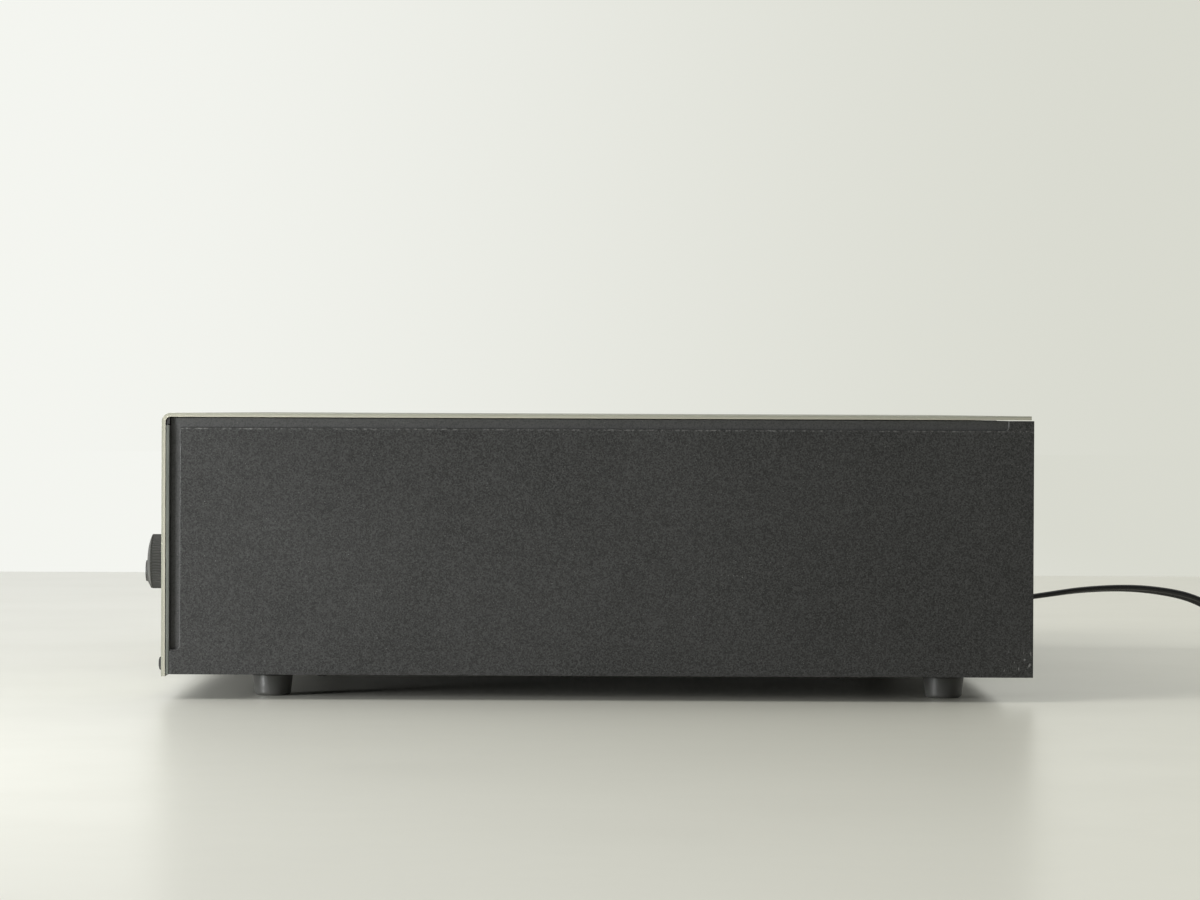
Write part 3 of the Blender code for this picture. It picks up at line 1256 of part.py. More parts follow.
def make_power_supply():
    """The transformer at the right rear, and the main board on its legs with two capacitors."""
    centre_x = WIDTH / 2 - CORE_X
    centre_y = REAR - CORE_REAR - CORE_SIZE[1] / 2
    foot = PRESSED_TOP + GAP
    half = CORE_SIZE[0] / 2
    limb = CORE_SIZE[0] / 6
    core = block(
        "transformer_core",
        (centre_x - half, centre_y - CORE_SIZE[1] / 2, foot),
        (centre_x + half, centre_y + CORE_SIZE[1] / 2, foot + CORE_SIZE[2]),
        "lamination_steel",
    )
    windows = []
    for s in (-1, 1):
        near = centre_x + s * limb
        far = centre_x + s * 2 * limb
        windows.append(
            (
                (min(near, far), centre_y - CORE_SIZE[1] / 2 - OVERRUN, foot + limb),
                (max(near, far), centre_y + CORE_SIZE[1] / 2 + OVERRUN, foot + CORE_SIZE[2] - limb),
            )
        )
    cut_boxes(core, windows, "windows")
    reach = CORE_SIZE[1] / 2 + COIL_OUT
    coil_half = 2 * limb - GAP
    winding = block(
        "transformer_coil",
        (centre_x - coil_half, centre_y - reach, foot + limb + GAP),
        (centre_x + coil_half, centre_y + reach, foot + CORE_SIZE[2] - limb - GAP),
        "coil_tape",
    )
    leg_hole = (
        (centre_x - limb - GAP, centre_y - CORE_SIZE[1] / 2 - GAP, foot),
        (centre_x + limb + GAP, centre_y + CORE_SIZE[1] / 2 + GAP, foot + CORE_SIZE[2]),
    )
    cut_boxes(winding, [leg_hole], "leg_hole")
    board_low = PRESSED_TOP + BOARD_RISE
    board_top = board_low + BOARD_SHEET
    left = CONTROL_LEFT + BOARD_LEFT
    right = SIDE_INNER - BOARD_SIDE
    front = FRONT + BOARD_FRONT
    back = front + BOARD_DEPTH
    board = block("main_board", (left, front, board_low), (right, back, board_top), "board_brown")
    inset = BOARD_LEG_MARGIN
    legs = []
    for x in (left + inset, right - inset):
        for y in (front + inset, back - inset):
            legs.append(((x, y, PRESSED_TOP + GAP), (x, y, board_low + BOARD_SHEET / 2), BOARD_LEG, "Z"))
    join_shapes(board, [], legs, "legs")
    profile = [
        (0, CAPACITOR_HEIGHT),
        (CAPACITOR_RADIUS - CAPACITOR_EDGE, CAPACITOR_HEIGHT),
        (CAPACITOR_RADIUS, CAPACITOR_HEIGHT - CAPACITOR_EDGE),
        (CAPACITOR_RADIUS, 0),
        (0, 0),
    ]
    for i, name in enumerate(["smoothing_capacitor_left", "smoothing_capacitor_right"]):
        x = right - CAPACITOR_MARGIN - CAPACITOR_SPACING * (1 - i)
        y = back - CAPACITOR_MARGIN
        turned(name, profile, "black_plastic", (x, y, board_top + GAP), axis="Z", steps=24)


def smooth_route(points, count):
    """A Catmull-Rom curve through the route's own points, read at evenly spaced steps of its length."""
    path = np.array(points)
    path = np.vstack([2 * path[0] - path[1], path, 2 * path[-1] - path[-2]])
    fine = []
    for i in range(1, len(path) - 2):
        a, b, c, d = path[i - 1 : i + 3]
        for t in np.linspace(0, 1, 20, endpoint=False):
            bend = (2 * a - 5 * b + 4 * c - d) * t**2 + (3 * b - a - 3 * c + d) * t**3
            fine.append(b + ((c - a) * t + bend) / 2)
    fine.append(path[-2])
    fine = np.array(fine)
    run = np.concatenate([[0], np.cumsum(np.linalg.norm(np.diff(fine, axis=0), axis=1))])
    wanted = np.linspace(0, run[-1], count)
    return np.stack([np.interp(wanted, run, fine[:, k]) for k in range(3)], axis=1)


def tube(name, points, radius, resolution, finish):
    curve = bpy.data.curves.new(name, "CURVE")
    curve.dimensions = "3D"
    curve.bevel_depth = radius
    curve.bevel_resolution = resolution
    curve.use_fill_caps = True
    spline = curve.splines.new("POLY")
    spline.points.add(len(points) - 1)
    for point, co in zip(spline.points, points):
        point.co = (*co, 1)
    spline.use_smooth = True
    return place(name, curve, finish)


COIL_X = EXIT_X + COIL_MIDDLE + COIL_PITCH * COIL_TURNS / COIL_LAYERS / 2
COIL_Y = REAR + COIL_BEHIND
COIL_LOW = TIE_SHEET + GAP + CORD_WIDTH / 2


def coil_points():
    """Loops that spiral in and out again at a steady rate and climb a layer where the spiral reverses."""
    per_layer = COIL_TURNS / COIL_LAYERS
    turns = np.linspace(0, COIL_TURNS, int(round(COIL_TURNS * COIL_STEPS)) + 1)
    across = COIL_PITCH * per_layer
    phase = turns / per_layer
    inward = np.abs((phase + 1) % 2 - 1)
    radius = COIL_MIDDLE + across / 2 - across * inward
    climb = np.zeros(len(turns))
    for layer in range(1, COIL_LAYERS):
        climb += np.clip((turns - layer * per_layer) * 2 + 0.5, 0, 1)
    angle = math.pi - turns * math.tau
    x = COIL_X + radius * np.cos(angle)
    y = COIL_Y + radius * np.sin(angle)
    z = COIL_LOW + COIL_PITCH * climb
    loops = np.stack([x, y, z], axis=1)
    lead_in = loops[0] - (0, CORD_WIDTH, 0)
    lead_out = loops[-1] + (CORD_WIDTH, 0, 0)
    return np.vstack([lead_in, loops, lead_out])


def least_gap(points, steps):
    """The least distance between centre lines over half a turn apart, less the tube's width."""
    away = np.linalg.norm(points[:, None] - points[None], axis=2)
    order = np.arange(len(points))
    apart = np.abs(order[:, None] - order[None]) > steps // 2
    return away[apart].min() - CORD_WIDTH


BOOT_END = REAR_FACE + GAP + BOOT_LENGTH
ROUTE = [
    (-0.1500, BOOT_END + GAP, 0.0236),
    (-0.1500, 0.1990, 0.0236),
    (-0.1500, 0.2060, 0.0237),
    (-0.1500, 0.2190, 0.0255),
    (-0.1500, 0.2340, 0.0276),
    (-0.1500, 0.2520, 0.0286),
    (-0.1500, 0.2680, 0.0278),
    (-0.1500, 0.2850, 0.0246),
    (-0.1500, 0.2990, 0.0180),
    (-0.1500, 0.3110, 0.0100),
    (-0.1500, 0.3220, 0.0048),
    (-0.1500, 0.3310, 0.0035),
]


def make_cord():
    """The mains lead: boot, free stretch, neat coil with its tie, tail and flat two-pin plug."""
    flange_back = -GAP
    profile = [
        (0, GAP + REAR_SHEET + GAP),
        (BOOT_NECK, GAP + REAR_SHEET + GAP),
        (BOOT_NECK, flange_back),
        (BOOT_FLANGE, flange_back),
        (BOOT_FLANGE, flange_back - BOOT_FLANGE_SHEET),
        (BOOT_WIDE, flange_back - BOOT_FLANGE_SHEET),
        (BOOT_TIP, flange_back - BOOT_LENGTH),
        (0, flange_back - BOOT_LENGTH),
    ]
    turned("cord_boot", profile, "black_rubber", (EXIT_X, REAR_FACE, EXIT_Z), steps=24)
    radius = CORD_WIDTH / 2
    coil = coil_points()
    route = ROUTE + [(coil[0][0], coil[0][1] - GAP, coil[0][2])]
    free = smooth_route(route, 22)
    tube("mains_cord", free, radius, 2, "black_plastic")
    tube("mains_cord_coil", coil, radius, 1, "black_plastic")
    print("least gap between the coil's loops, mm:", round(1000 * least_gap(coil, COIL_STEPS), 2))
    plug_back = coil[-1][0] + PLUG_REACH
    tail_y = coil[-1][1]
    plug_z = PLUG_SIZE[2] / 2
    start = (coil[-1][0] + GAP, tail_y, coil[-1][2])
    drop = coil[-1][2] - plug_z
    run = PLUG_REACH - GAP
    tail_route = [start]
    for along, down in zip(TAIL_RUN_SHARES, TAIL_DROP_SHARES):
        tail_route.append((start[0] + run * along, tail_y, start[2] - drop * down))
    tail_route.append((plug_back - GAP, tail_y, plug_z))
    tail = smooth_route(tail_route, 12)
    tube("mains_cord_tail", tail, radius, 2, "black_plastic")
    lengths = [np.linalg.norm(np.diff(line, axis=0), axis=1).sum() for line in (free, coil, tail)]
    print("cord lengths, m:", [round(float(value), 4) for value in lengths], round(float(sum(lengths)), 4))
    make_tie()
    make_plug(plug_back, tail_y, plug_z)


def make_tie():
    """A flat band round the bundle, on the side away from where the cord comes in."""
    reach = COIL_PITCH * COIL_TURNS / COIL_LAYERS / 2 + CORD_WIDTH / 2 + GAP
    near = math.sqrt((COIL_MIDDLE - reach) ** 2 - (TIE_WIDTH / 2) ** 2)
    far = COIL_MIDDLE + reach
    top = COIL_LOW + COIL_PITCH * (COIL_LAYERS - 1) + CORD_WIDTH / 2 + GAP
    wall = TIE_SHEET
    half = TIE_WIDTH / 2
    low = (COIL_X + near - wall, COIL_Y - half, 0)
    high = (COIL_X + far + wall, COIL_Y + half, top + wall)
    tie = block("mains_cord_tie", low, high, "black_plastic")
    hollow_low = (COIL_X + near, COIL_Y - half - OVERRUN, wall)
    hollow_high = (COIL_X + far, COIL_Y + half + OVERRUN, top)
    cut_boxes(tie, [(hollow_low, hollow_high)], "hollow")


def make_plug(back, y, z):
    """A flat two-pin plug lying on its side face, its body narrowing towards the cord."""
    half = PLUG_SIZE[0] / 2
    neck = half * PLUG_NOSE_SHARE
    front = back + PLUG_SIZE[1]
    outline = [
        (back, y - neck),
        (back + (front - back) * PLUG_TAPER_SHARE, y - half),
        (front, y - half),
        (front, y + half),
        (back + (front - back) * PLUG_TAPER_SHARE, y + half),
        (back, y + neck),
    ]
    mesh = prism("mains_plug", [outline], "XY", z - PLUG_SIZE[2] / 2, z + PLUG_SIZE[2] / 2)
    plug = place("mains_plug", mesh, "black_plastic")
    bevelled(plug, PLUG_EDGE)
    pins = []
    for s in (-1, 1):
        pin_y = y + s * PLUG_PIN_SPACING / 2
        pins.append(((front - OVERRUN, pin_y, z), (front + PLUG_PIN_LENGTH, pin_y, z), PLUG_PIN, "X"))
    join_shapes(plug, [], pins, "pins")


make_cover()
make_backing()
make_side("side_panel_left", -1)
make_side("side_panel_right", 1)
make_pan()
make_feet()
make_rear()
make_door()
make_holder()
make_bay()
make_mechanism_plate()
make_spindle("supply_spindle", -1)
make_spindle("takeup_spindle", 1)
make_flywheel()
make_motor()
make_bridge()
make_pinch()
make_keys()
make_counter()
make_buttons()
make_meter()
make_knobs()
make_jack()
make_power_supply()
make_cord()
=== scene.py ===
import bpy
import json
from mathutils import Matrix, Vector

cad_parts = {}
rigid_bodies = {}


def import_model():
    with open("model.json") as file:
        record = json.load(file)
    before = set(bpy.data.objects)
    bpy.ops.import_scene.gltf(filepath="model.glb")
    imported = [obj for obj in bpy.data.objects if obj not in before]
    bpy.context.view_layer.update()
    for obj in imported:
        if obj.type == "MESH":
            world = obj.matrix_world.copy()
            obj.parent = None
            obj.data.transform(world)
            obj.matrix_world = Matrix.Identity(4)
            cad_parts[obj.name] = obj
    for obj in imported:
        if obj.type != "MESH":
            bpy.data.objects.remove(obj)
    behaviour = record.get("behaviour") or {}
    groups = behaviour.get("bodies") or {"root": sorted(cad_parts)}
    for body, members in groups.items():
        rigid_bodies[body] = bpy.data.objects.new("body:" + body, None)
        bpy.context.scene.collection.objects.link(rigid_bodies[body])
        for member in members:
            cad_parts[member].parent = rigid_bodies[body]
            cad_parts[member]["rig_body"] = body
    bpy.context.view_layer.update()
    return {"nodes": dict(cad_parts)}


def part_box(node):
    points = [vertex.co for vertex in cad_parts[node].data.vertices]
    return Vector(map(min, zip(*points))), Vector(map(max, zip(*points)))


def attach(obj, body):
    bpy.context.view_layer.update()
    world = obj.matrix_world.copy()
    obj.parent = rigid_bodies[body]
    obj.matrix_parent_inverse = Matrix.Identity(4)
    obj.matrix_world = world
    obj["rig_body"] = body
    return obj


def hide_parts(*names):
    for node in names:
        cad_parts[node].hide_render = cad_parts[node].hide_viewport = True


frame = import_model()

import json
import math

import bmesh
import bpy
import numpy as np
from mathutils import Matrix


# The studio: a pale table top before a paler wall, one broad lamp above at the left and a
# small low one beside it. The table top's colour is darker to the right and towards the camera: painted
# shade. The wall is a painted glow on the table's far part and in the room seen by the camera, lighter
# at the left: painted light falloff. The camera stands level with the deck's top, square to its right-hand
# side.
class Signal:
    """A value on its way through the nodes. Arithmetic on it adds the Math nodes that it means."""

    def __init__(self, wiring, socket):
        self.wiring = wiring
        self.socket = socket

    def math(self, operation, *values):
        return self.wiring.add("ShaderNodeMath", {"operation": operation}, dict(enumerate(values)))

    def __add__(self, other):
        return self.math("ADD", self, other)

    def __radd__(self, other):
        return self.math("ADD", other, self)

    def __sub__(self, other):
        return self.math("SUBTRACT", self, other)

    def __rsub__(self, other):
        return self.math("SUBTRACT", other, self)

    def __mul__(self, other):
        return self.math("MULTIPLY", self, other)

    def __rmul__(self, other):
        return self.math("MULTIPLY", other, self)

    def __pow__(self, other):
        return self.math("POWER", self, other)

    def __abs__(self):
        return self.math("ABSOLUTE", self)

    def __gt__(self, other):
        return self.math("GREATER_THAN", self, other)

    def __lt__(self, other):
        return self.math("LESS_THAN", self, other)

    def rise(self, low, high):
        """Goes smoothly from 0 at low to 1 at high."""
        values = {"Value": self, "From Min": low, "From Max": high}
        return self.wiring.add("ShaderNodeMapRange", {"interpolation_type": "SMOOTHSTEP"}, values)


class Wiring:
    """A node tree in which one method adds any node."""

    def __init__(self, tree):
        self.tree = tree

    def add(self, kind, settings, inputs, output=0):
        """A node by its type, its settings, its sockets' values or links, and the output wanted."""
        node = self.tree.nodes.new(kind)
        for setting, value in settings.items():
            setattr(node, setting, value)
        for label, value in inputs.items():
            if isinstance(value, Signal):
                self.tree.links.new(value.socket, node.inputs[label])
            else:
                node.inputs[label].default_value = value
        return Signal(self, node.outputs[output])

    def mixed(self, factor, first, second):
        """Goes from the first colour to the second as the factor goes from 0 to 1."""
        colours = [(*c, 1) if isinstance(c, tuple) else c for c in (first, second)]
        inputs = {0: factor, 6: colours[0], 7: colours[1]}
        return self.add("ShaderNodeMix", {"data_type": "RGBA"}, inputs, 2)

    def part(self, vector, axis):
        """One of a vector's three numbers."""
        return self.add("ShaderNodeSeparateXYZ", {}, {0: vector}, axis)


class Coat(Wiring):
    """A surface finish. What is the same all over sits on the shader's own sockets."""

    def __init__(self, name, constants):
        self.material = bpy.data.materials.new(name)
        self.material.use_nodes = True
        super().__init__(self.material.node_tree)
        self.shader = self.tree.nodes["Principled BSDF"]
        for label, value in constants.items():
            self.shader.inputs[label].default_value = value
        self.place = self.add("ShaderNodeTexCoord", {}, {}, "Object")

    def noise(self, scale, detail=2.0, roughness=0.5, stretch=None):
        """Cloudy noise with features of about one over scale metres."""
        vector = self.place
        if stretch:
            vector = self.add("ShaderNodeMapping", {}, {"Vector": vector, "Scale": stretch})
        inputs = {"Vector": vector, "Scale": scale, "Detail": detail, "Roughness": roughness}
        return self.add("ShaderNodeTexNoise", {}, inputs, "Fac")

    def feed(self, label, signal):
        self.tree.links.new(signal.socket, self.shader.inputs[label])

    def bump(self, height, distance, strength=1.0):
        inputs = {"Height": height, "Distance": distance, "Strength": strength}
        self.feed("Normal", self.add("ShaderNodeBump", {}, inputs))

    def tint(self, factor, first, second):
        self.feed("Base Color", self.mixed(factor, first, second))

    def roughen(self, least, spread, scale, detail):
        """Roughness that clouds upwards from its least value."""
        self.feed("Roughness", least + spread * self.noise(scale, detail))

    def pit(self, scale, detail, depth, strength):
        """Fine unevenness of one noise."""
        self.bump(self.noise(scale, detail), depth, strength)


scene = bpy.context.scene
scene.view_settings.view_transform = "Standard"

CAMERA_PLACE = (1.8225, 0.0068, 0.1118)
CAMERA_TILT = 89.45
CAMERA_ROLL = 0.24

lens = bpy.data.cameras.new("camera")
lens.lens = 125.2
lens.sensor_width = 36
lens.clip_start = 0.05
lens.clip_end = 50
camera = bpy.data.objects.new("camera", lens)
look = Matrix.Rotation(math.radians(90), 4, "Z") @ Matrix.Rotation(math.radians(CAMERA_TILT), 4, "X")
roll = Matrix.Rotation(math.radians(CAMERA_ROLL), 4, "Z")
camera.matrix_world = Matrix.Translation(CAMERA_PLACE) @ look @ roll
scene.collection.objects.link(camera)
scene.camera = camera

TABLE_END = -1.02
WALL_LIT_LEFT = (0.905, 0.915, 0.870)
WALL_SHADED_RIGHT = (0.690, 0.697, 0.625)

table_mesh = bpy.data.meshes.new("table_top")
table_mesh.from_pydata([(-9, -9, 0), (9, -9, 0), (9, 9, 0), (-9, 9, 0)], [], [(0, 1, 2, 3)])
table = bpy.data.objects.new("table_top", table_mesh)
scene.collection.objects.link(table)
laminate = Coat("pale_laminate", {"IOR": 1.5})
across = laminate.part(laminate.place, 1)
grain = laminate.noise(9, 5, 0.6)
# The table top is painted lighter at the left and darker at the right: painted light falloff.
pale = laminate.mixed(across.rise(-0.45, 0.35), (0.87, 0.865, 0.803), (0.795, 0.782, 0.680))
# Grain marks, plus a darkening towards the camera's side (greater x) that is painted shade.
grain_and_painted_near_shade = grain.rise(0.35, 0.75) * 0.06 + laminate.part(laminate.place, 0).rise(-0.7, 0.5) * 0.36
laminate.tint(grain_and_painted_near_shade, pale, (0.42, 0.42, 0.37))
laminate.feed("Roughness", 0.26 + 0.10 * grain)
# Beyond TABLE_END the table shows the wall as a glow, lighter at the left, darker at the right: a painted
# wall with painted light falloff.
painted_wall_falloff = laminate.mixed(across.rise(-0.35, 0.45), WALL_LIT_LEFT, WALL_SHADED_RIGHT)
painted_wall_glow = laminate.add("ShaderNodeEmission", {}, {"Color": painted_wall_falloff})
ray = laminate.add("ShaderNodeLightPath", {}, {}, "Is Camera Ray")
beyond = (laminate.part(laminate.place, 0) < TABLE_END) * ray
shown = laminate.add(
    "ShaderNodeMixShader", {}, {0: beyond, 1: Signal(laminate, laminate.shader.outputs[0]), 2: painted_wall_glow}
)
laminate.tree.links.new(shown.socket, laminate.tree.nodes["Material Output"].inputs["Surface"])
table_mesh.materials.append(laminate.material)

room = bpy.data.worlds.new("soft_room")
scene.world = room
room.use_nodes = True
sky = Wiring(room.node_tree)
heading = sky.add("ShaderNodeTexCoord", {}, {}, "Generated")
# Seen from the camera the room is the same painted wall, lighter at the left: painted light falloff.
sky_tone = sky.mixed(sky.part(heading, 1).rise(-0.15, 0.15), WALL_LIT_LEFT, WALL_SHADED_RIGHT)
ray = sky.add("ShaderNodeLightPath", {}, {}, "Is Camera Ray")
glossy = sky.add("ShaderNodeLightPath", {}, {}, "Is Glossy Ray")
unlit_side = sky.part(heading, 0).rise(-0.1, 0.8)
room_tone = sky.mixed(glossy * 0.75, (0.87, 0.875, 0.855), sky_tone)
seen = sky.mixed(ray, sky.mixed(unlit_side, room_tone, (0.13, 0.13, 0.127)), sky_tone)
background = room.node_tree.nodes["Background"]
room.node_tree.links.new(seen.socket, background.inputs["Color"])


def lamp(name, place, aim, size, watts, tone):
    """A square soft lamp that looks from its place at a point."""
    light = bpy.data.lights.new(name, "AREA")
    light.shape = "SQUARE"
    light.size = size
    light.energy = watts
    light.color = tone
    lit = bpy.data.objects.new(name, light)
    away = Matrix.Translation(place).translation - Matrix.Translation(aim).translation
    lit.location = place
    lit.rotation_euler = away.to_track_quat("Z", "Y").to_euler()
    lit.visible_camera = False
    scene.collection.objects.link(lit)


lamp("broad_lamp", (1.1, -1.4, 1.5), (0.1, 0, 0.05), 1.2, 19, (1.0, 0.99, 0.965))
lamp("low_lamp", (0.62, -0.72, 0.10), (0.2, -0.10, 0.05), 0.19, 8.8, (0.985, 1.0, 1.0))


# The mains lead: black PVC round two cores, so its section is a figure of eight, 5 mm by 2.5 mm. It
# leaves the boot lying flat, turns slowly on itself, and its spare length lies in a neat tied coil.
def spread_evenly(line, step):
    """Points along the same line, one every step of its length."""
    run = np.concatenate([[0], np.cumsum(np.linalg.norm(np.diff(line, axis=0), axis=1))])
    wanted = np.linspace(0, run[-1], int(round(run[-1] / step)) + 1)
    return np.stack([np.interp(wanted, run, values) for values in line.T], axis=1)


def through(points, fine=20):
    """A Catmull-Rom curve: each stretch is the cubic whose ends take their slope from the neighbours."""
    path = np.array(points)
    path = np.vstack([2 * path[0] - path[1], path, 2 * path[-1] - path[-2]])
    a, b, c, d = (path[i : len(path) - 3 + i, None] for i in range(4))
    t = np.linspace(0, 1, fine, endpoint=False)[None, :, None]
    bend = (2 * a - 5 * b + 4 * c - d) * t**2 + (3 * b - a - 3 * c + d) * t**3
    curve = b + ((c - a) * t + bend) / 2
    return np.vstack([curve.reshape(-1, 3), path[-2]])


def middle_of(node, y=None):
    """The middle of a solid's box. A y that is given takes the place of the middle's own."""
    low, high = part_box(node)
    return ((low.x + high.x) / 2, (low.y + high.y) / 2 if y is None else y, (low.z + high.z) / 2)


def grid_faces(rows, columns, joined_rows, joined_columns):
    """The corner numbers of the four-sided faces between neighbours of a grid, some edges joined up."""
    i = np.arange(rows if joined_rows else rows - 1)[:, None]
    j = np.arange(columns if joined_columns else columns - 1)[None, :]
    below = (i + 1) % rows
    beside = (j + 1) % columns
    corners = [i * columns + j, i * columns + beside, below * columns + beside, below * columns + j]
    return np.stack([np.broadcast_to(c, (i.size, j.size)).ravel() for c in corners], axis=1)


def surface(name, grids, coat, body, joined=(False, True), smooth=35):
    """One piece from grids of points. Neighbours make faces, and points that meet become one."""
    mesh = bpy.data.meshes.new(name)
    points = []
    faces = []
    start = 0
    for grid in grids:
        rows, columns = grid.shape[:2]
        points.append(grid.reshape(-1, 3))
        faces.append(grid_faces(rows, columns, *joined) + start)
        start += rows * columns
    points = np.vstack(points)
    faces = np.vstack(faces)
    mesh.vertices.add(len(points))
    mesh.vertices.foreach_set("co", points.astype(np.float32).ravel())
    mesh.loops.add(faces.size)
    mesh.loops.foreach_set("vertex_index", faces.astype(np.int32).ravel())
    mesh.polygons.add(len(faces))
    mesh.polygons.foreach_set("loop_start", np.arange(0, faces.size, 4, dtype=np.int32))
    mesh.update(calc_edges=True)
    bm = bmesh.new()
    bm.from_mesh(mesh)
    bmesh.ops.remove_doubles(bm, verts=bm.verts, dist=2e-6)
    bmesh.ops.recalc_face_normals(bm, faces=bm.faces)
    bm.to_mesh(mesh)
    bm.free()
    mesh.shade_smooth()
    mesh.set_sharp_from_angle(angle=math.radians(smooth))
    mesh.materials.append(coat.material)
    piece = bpy.data.objects.new(name, mesh)
    scene.collection.objects.link(piece)
    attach(piece, body)
    return piece


exit_x = -0.1500
exit_z = 0.0236
falling = [
    (0.1894, 0.0236), (0.1990, 0.0236), (0.2060, 0.0237), (0.2190, 0.0255),
    (0.2340, 0.0276), (0.2520, 0.0286), (0.2680, 0.0278), (0.2850, 0.0246),
    (0.2990, 0.0180), (0.3110, 0.0100), (0.3220, 0.0048), (0.3310, 0.0035),
]
cord_start = [(exit_x, y, z) for y, z in falling]
CORD_WIDE = 0.0050
COIL_PITCH = 0.0055
COIL_TURNS = 7.25
COIL_LAYERS = 4
COIL_MIDDLE = 0.0288
COIL_CENTRE = (-0.116216, 0.3393, 0.0034)


def coil_line(steps):
    """Loops whose radius goes in and out again once in two layers and that climb where it turns."""
    per_layer = COIL_TURNS / COIL_LAYERS
    turns = np.linspace(0, COIL_TURNS, int(round(COIL_TURNS * steps)) + 1)
    reach = COIL_PITCH * per_layer
    radius = COIL_MIDDLE + reach / 2 - reach * np.abs((turns / per_layer + 1) % 2 - 1)
    layer = np.arange(1, COIL_LAYERS)[:, None]
    climb = np.clip((turns - layer * per_layer) * 2 + 0.5, 0, 1).sum(axis=0)
    angle = math.pi - turns * math.tau
    x = COIL_CENTRE[0] + radius * np.cos(angle)
    y = COIL_CENTRE[1] + radius * np.sin(angle)
    z = COIL_CENTRE[2] + COIL_PITCH * climb
    return np.stack([x, y, z], axis=1)


coil = coil_line(48)
coil_in = coil[0] - (0, CORD_WIDE, 0)
coil_out = coil[-1] + (CORD_WIDE, 0, 0)
plug_low, plug_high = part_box("mains_plug")
plug_back = plug_low.x
plug_z = (plug_low.z + plug_high.z) / 2
drop = coil_out[2] - plug_z
run = plug_back - coil_out[0]
tail = [tuple(coil_out)]
for along, down in ((0.18, 0.06), (0.50, 0.50), (0.82, 0.97), (1.0, 1.0)):
    tail.append((coil_out[0] + run * along, coil_out[1], coil_out[2] - drop * down))
lead = np.vstack([through([*cord_start, tuple(coil_in)]), coil[1:], through(tail)])
lead = spread_evenly(lead, 0.0018)
for smoothing in range(6):
    lead[1:-1] = (lead[:-2] + 2 * lead[1:-1] + lead[2:]) / 4
lead_run = np.concatenate([[0], np.cumsum(np.linalg.norm(np.diff(lead, axis=0), axis=1))])

heading = np.gradient(lead, axis=0)
heading /= np.linalg.norm(heading, axis=1)[:, None]
level = np.cross(heading, (0, 0, 1))
level /= np.linalg.norm(level, axis=1)[:, None]
upright = np.cross(level, heading)
lean = 90 * np.clip(lead_run / 0.152, 0, 1) ** 1.7
lean -= 90 * np.clip((lead_run - lead_run[-1] + 0.044) / 0.040, 0, 1) ** 1.5
lean = np.radians(lean)[:, None]
wide = np.cos(lean) * level + np.sin(lean) * upright
thin = np.cos(lean) * upright - np.sin(lean) * level
way = np.linspace(0, math.tau, 28, endpoint=False)
way -= 0.16 * np.sin(2 * way)
core = CORD_WIDE / 4
reach = ((2 * core * np.abs(np.cos(way))) ** 6 + (0.72 * core) ** 6) ** (1 / 6)
section = np.stack([reach * np.cos(way), reach * np.sin(way)], axis=1)
rings = lead[:, None] + section[:, 0][:, None] * wide[:, None] + section[:, 1][:, None] * thin[:, None]
rings = np.concatenate([np.repeat(lead[:1, None], 28, 1), rings, np.repeat(lead[-1:, None], 28, 1)])

pvc = Coat("glossy_cord_pvc", {"Base Color": (0.010, 0.010, 0.011, 1), "Coat Weight": 0.15})
pvc.feed("Roughness", 0.24 + 0.16 * pvc.noise(160, 3).rise(0.35, 0.75))
pvc.pit(420, 2, 0.00006, 0.5)

lead_piece = surface("mains_lead", [rings], pvc, "chassis", smooth=70)
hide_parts("mains_cord", "mains_cord_coil", "mains_cord_tail")


# The lead's ends: a ribbed rubber boot in the rear sheet, and a flat moulded plug with two plated pins in
# plastic sleeves. A plastic band holds the coil together.
def eased_corners(corners, cut, steps=3):
    """The same line with each corner replaced by a parabola that starts and ends a cut away from it."""
    line = np.array(corners, float)
    corner = line[1:-1]
    pull = []
    for side in (line[:-2] - corner, line[2:] - corner):
        long = np.maximum(np.linalg.norm(side, axis=1)[:, None], 1e-9)
        pull.append(corner + side / long * np.minimum(cut, 0.45 * long))
    t = np.linspace(0, 1, steps + 1)[None, :, None]
    bent = (1 - t) ** 2 * pull[0][:, None] + 2 * t * (1 - t) * corner[:, None] + t**2 * pull[1][:, None]
    return np.vstack([line[:1], bent.reshape(-1, 2), line[-1:]])


TURNING = {
    "front": np.array([(1, 0, 0), (0, 0, 1), (0, -1, 0)], float),
    "rear": np.array([(-1, 0, 0), (0, 0, 1), (0, 1, 0)], float),
    "up": np.array([(1, 0, 0), (0, 1, 0), (0, 0, 1)], float),
    "down": np.array([(1, 0, 0), (0, -1, 0), (0, 0, -1)], float),
    "right": np.array([(0, 1, 0), (0, 0, 1), (1, 0, 0)], float),
}


def spun(profile, centre, facing, steps=48, flutes=None):
    """A profile of radius and height carried round an axis; flutes gives a factor on the radius."""
    profile = np.array(profile, float)
    angle = np.linspace(0, math.tau, steps, endpoint=False)
    radius = profile[:, :1] * np.ones(steps)
    if flutes:
        radius = radius * flutes(angle[None], profile[:, :1], profile[:, 1:])
    local = np.stack([radius * np.cos(angle), radius * np.sin(angle), profile[:, 1:] + 0 * radius], axis=2)
    return local @ TURNING[facing] + np.array(centre)


def plain_coat(name, colour, rough, pits=None):
    """One colour all over, with cloudy roughness, and with fine unevenness where it has any."""
    coat = Coat(name, {"Base Color": (*colour, 1)})
    coat.roughen(*rough)
    if pits:
        coat.pit(*pits)
    return coat


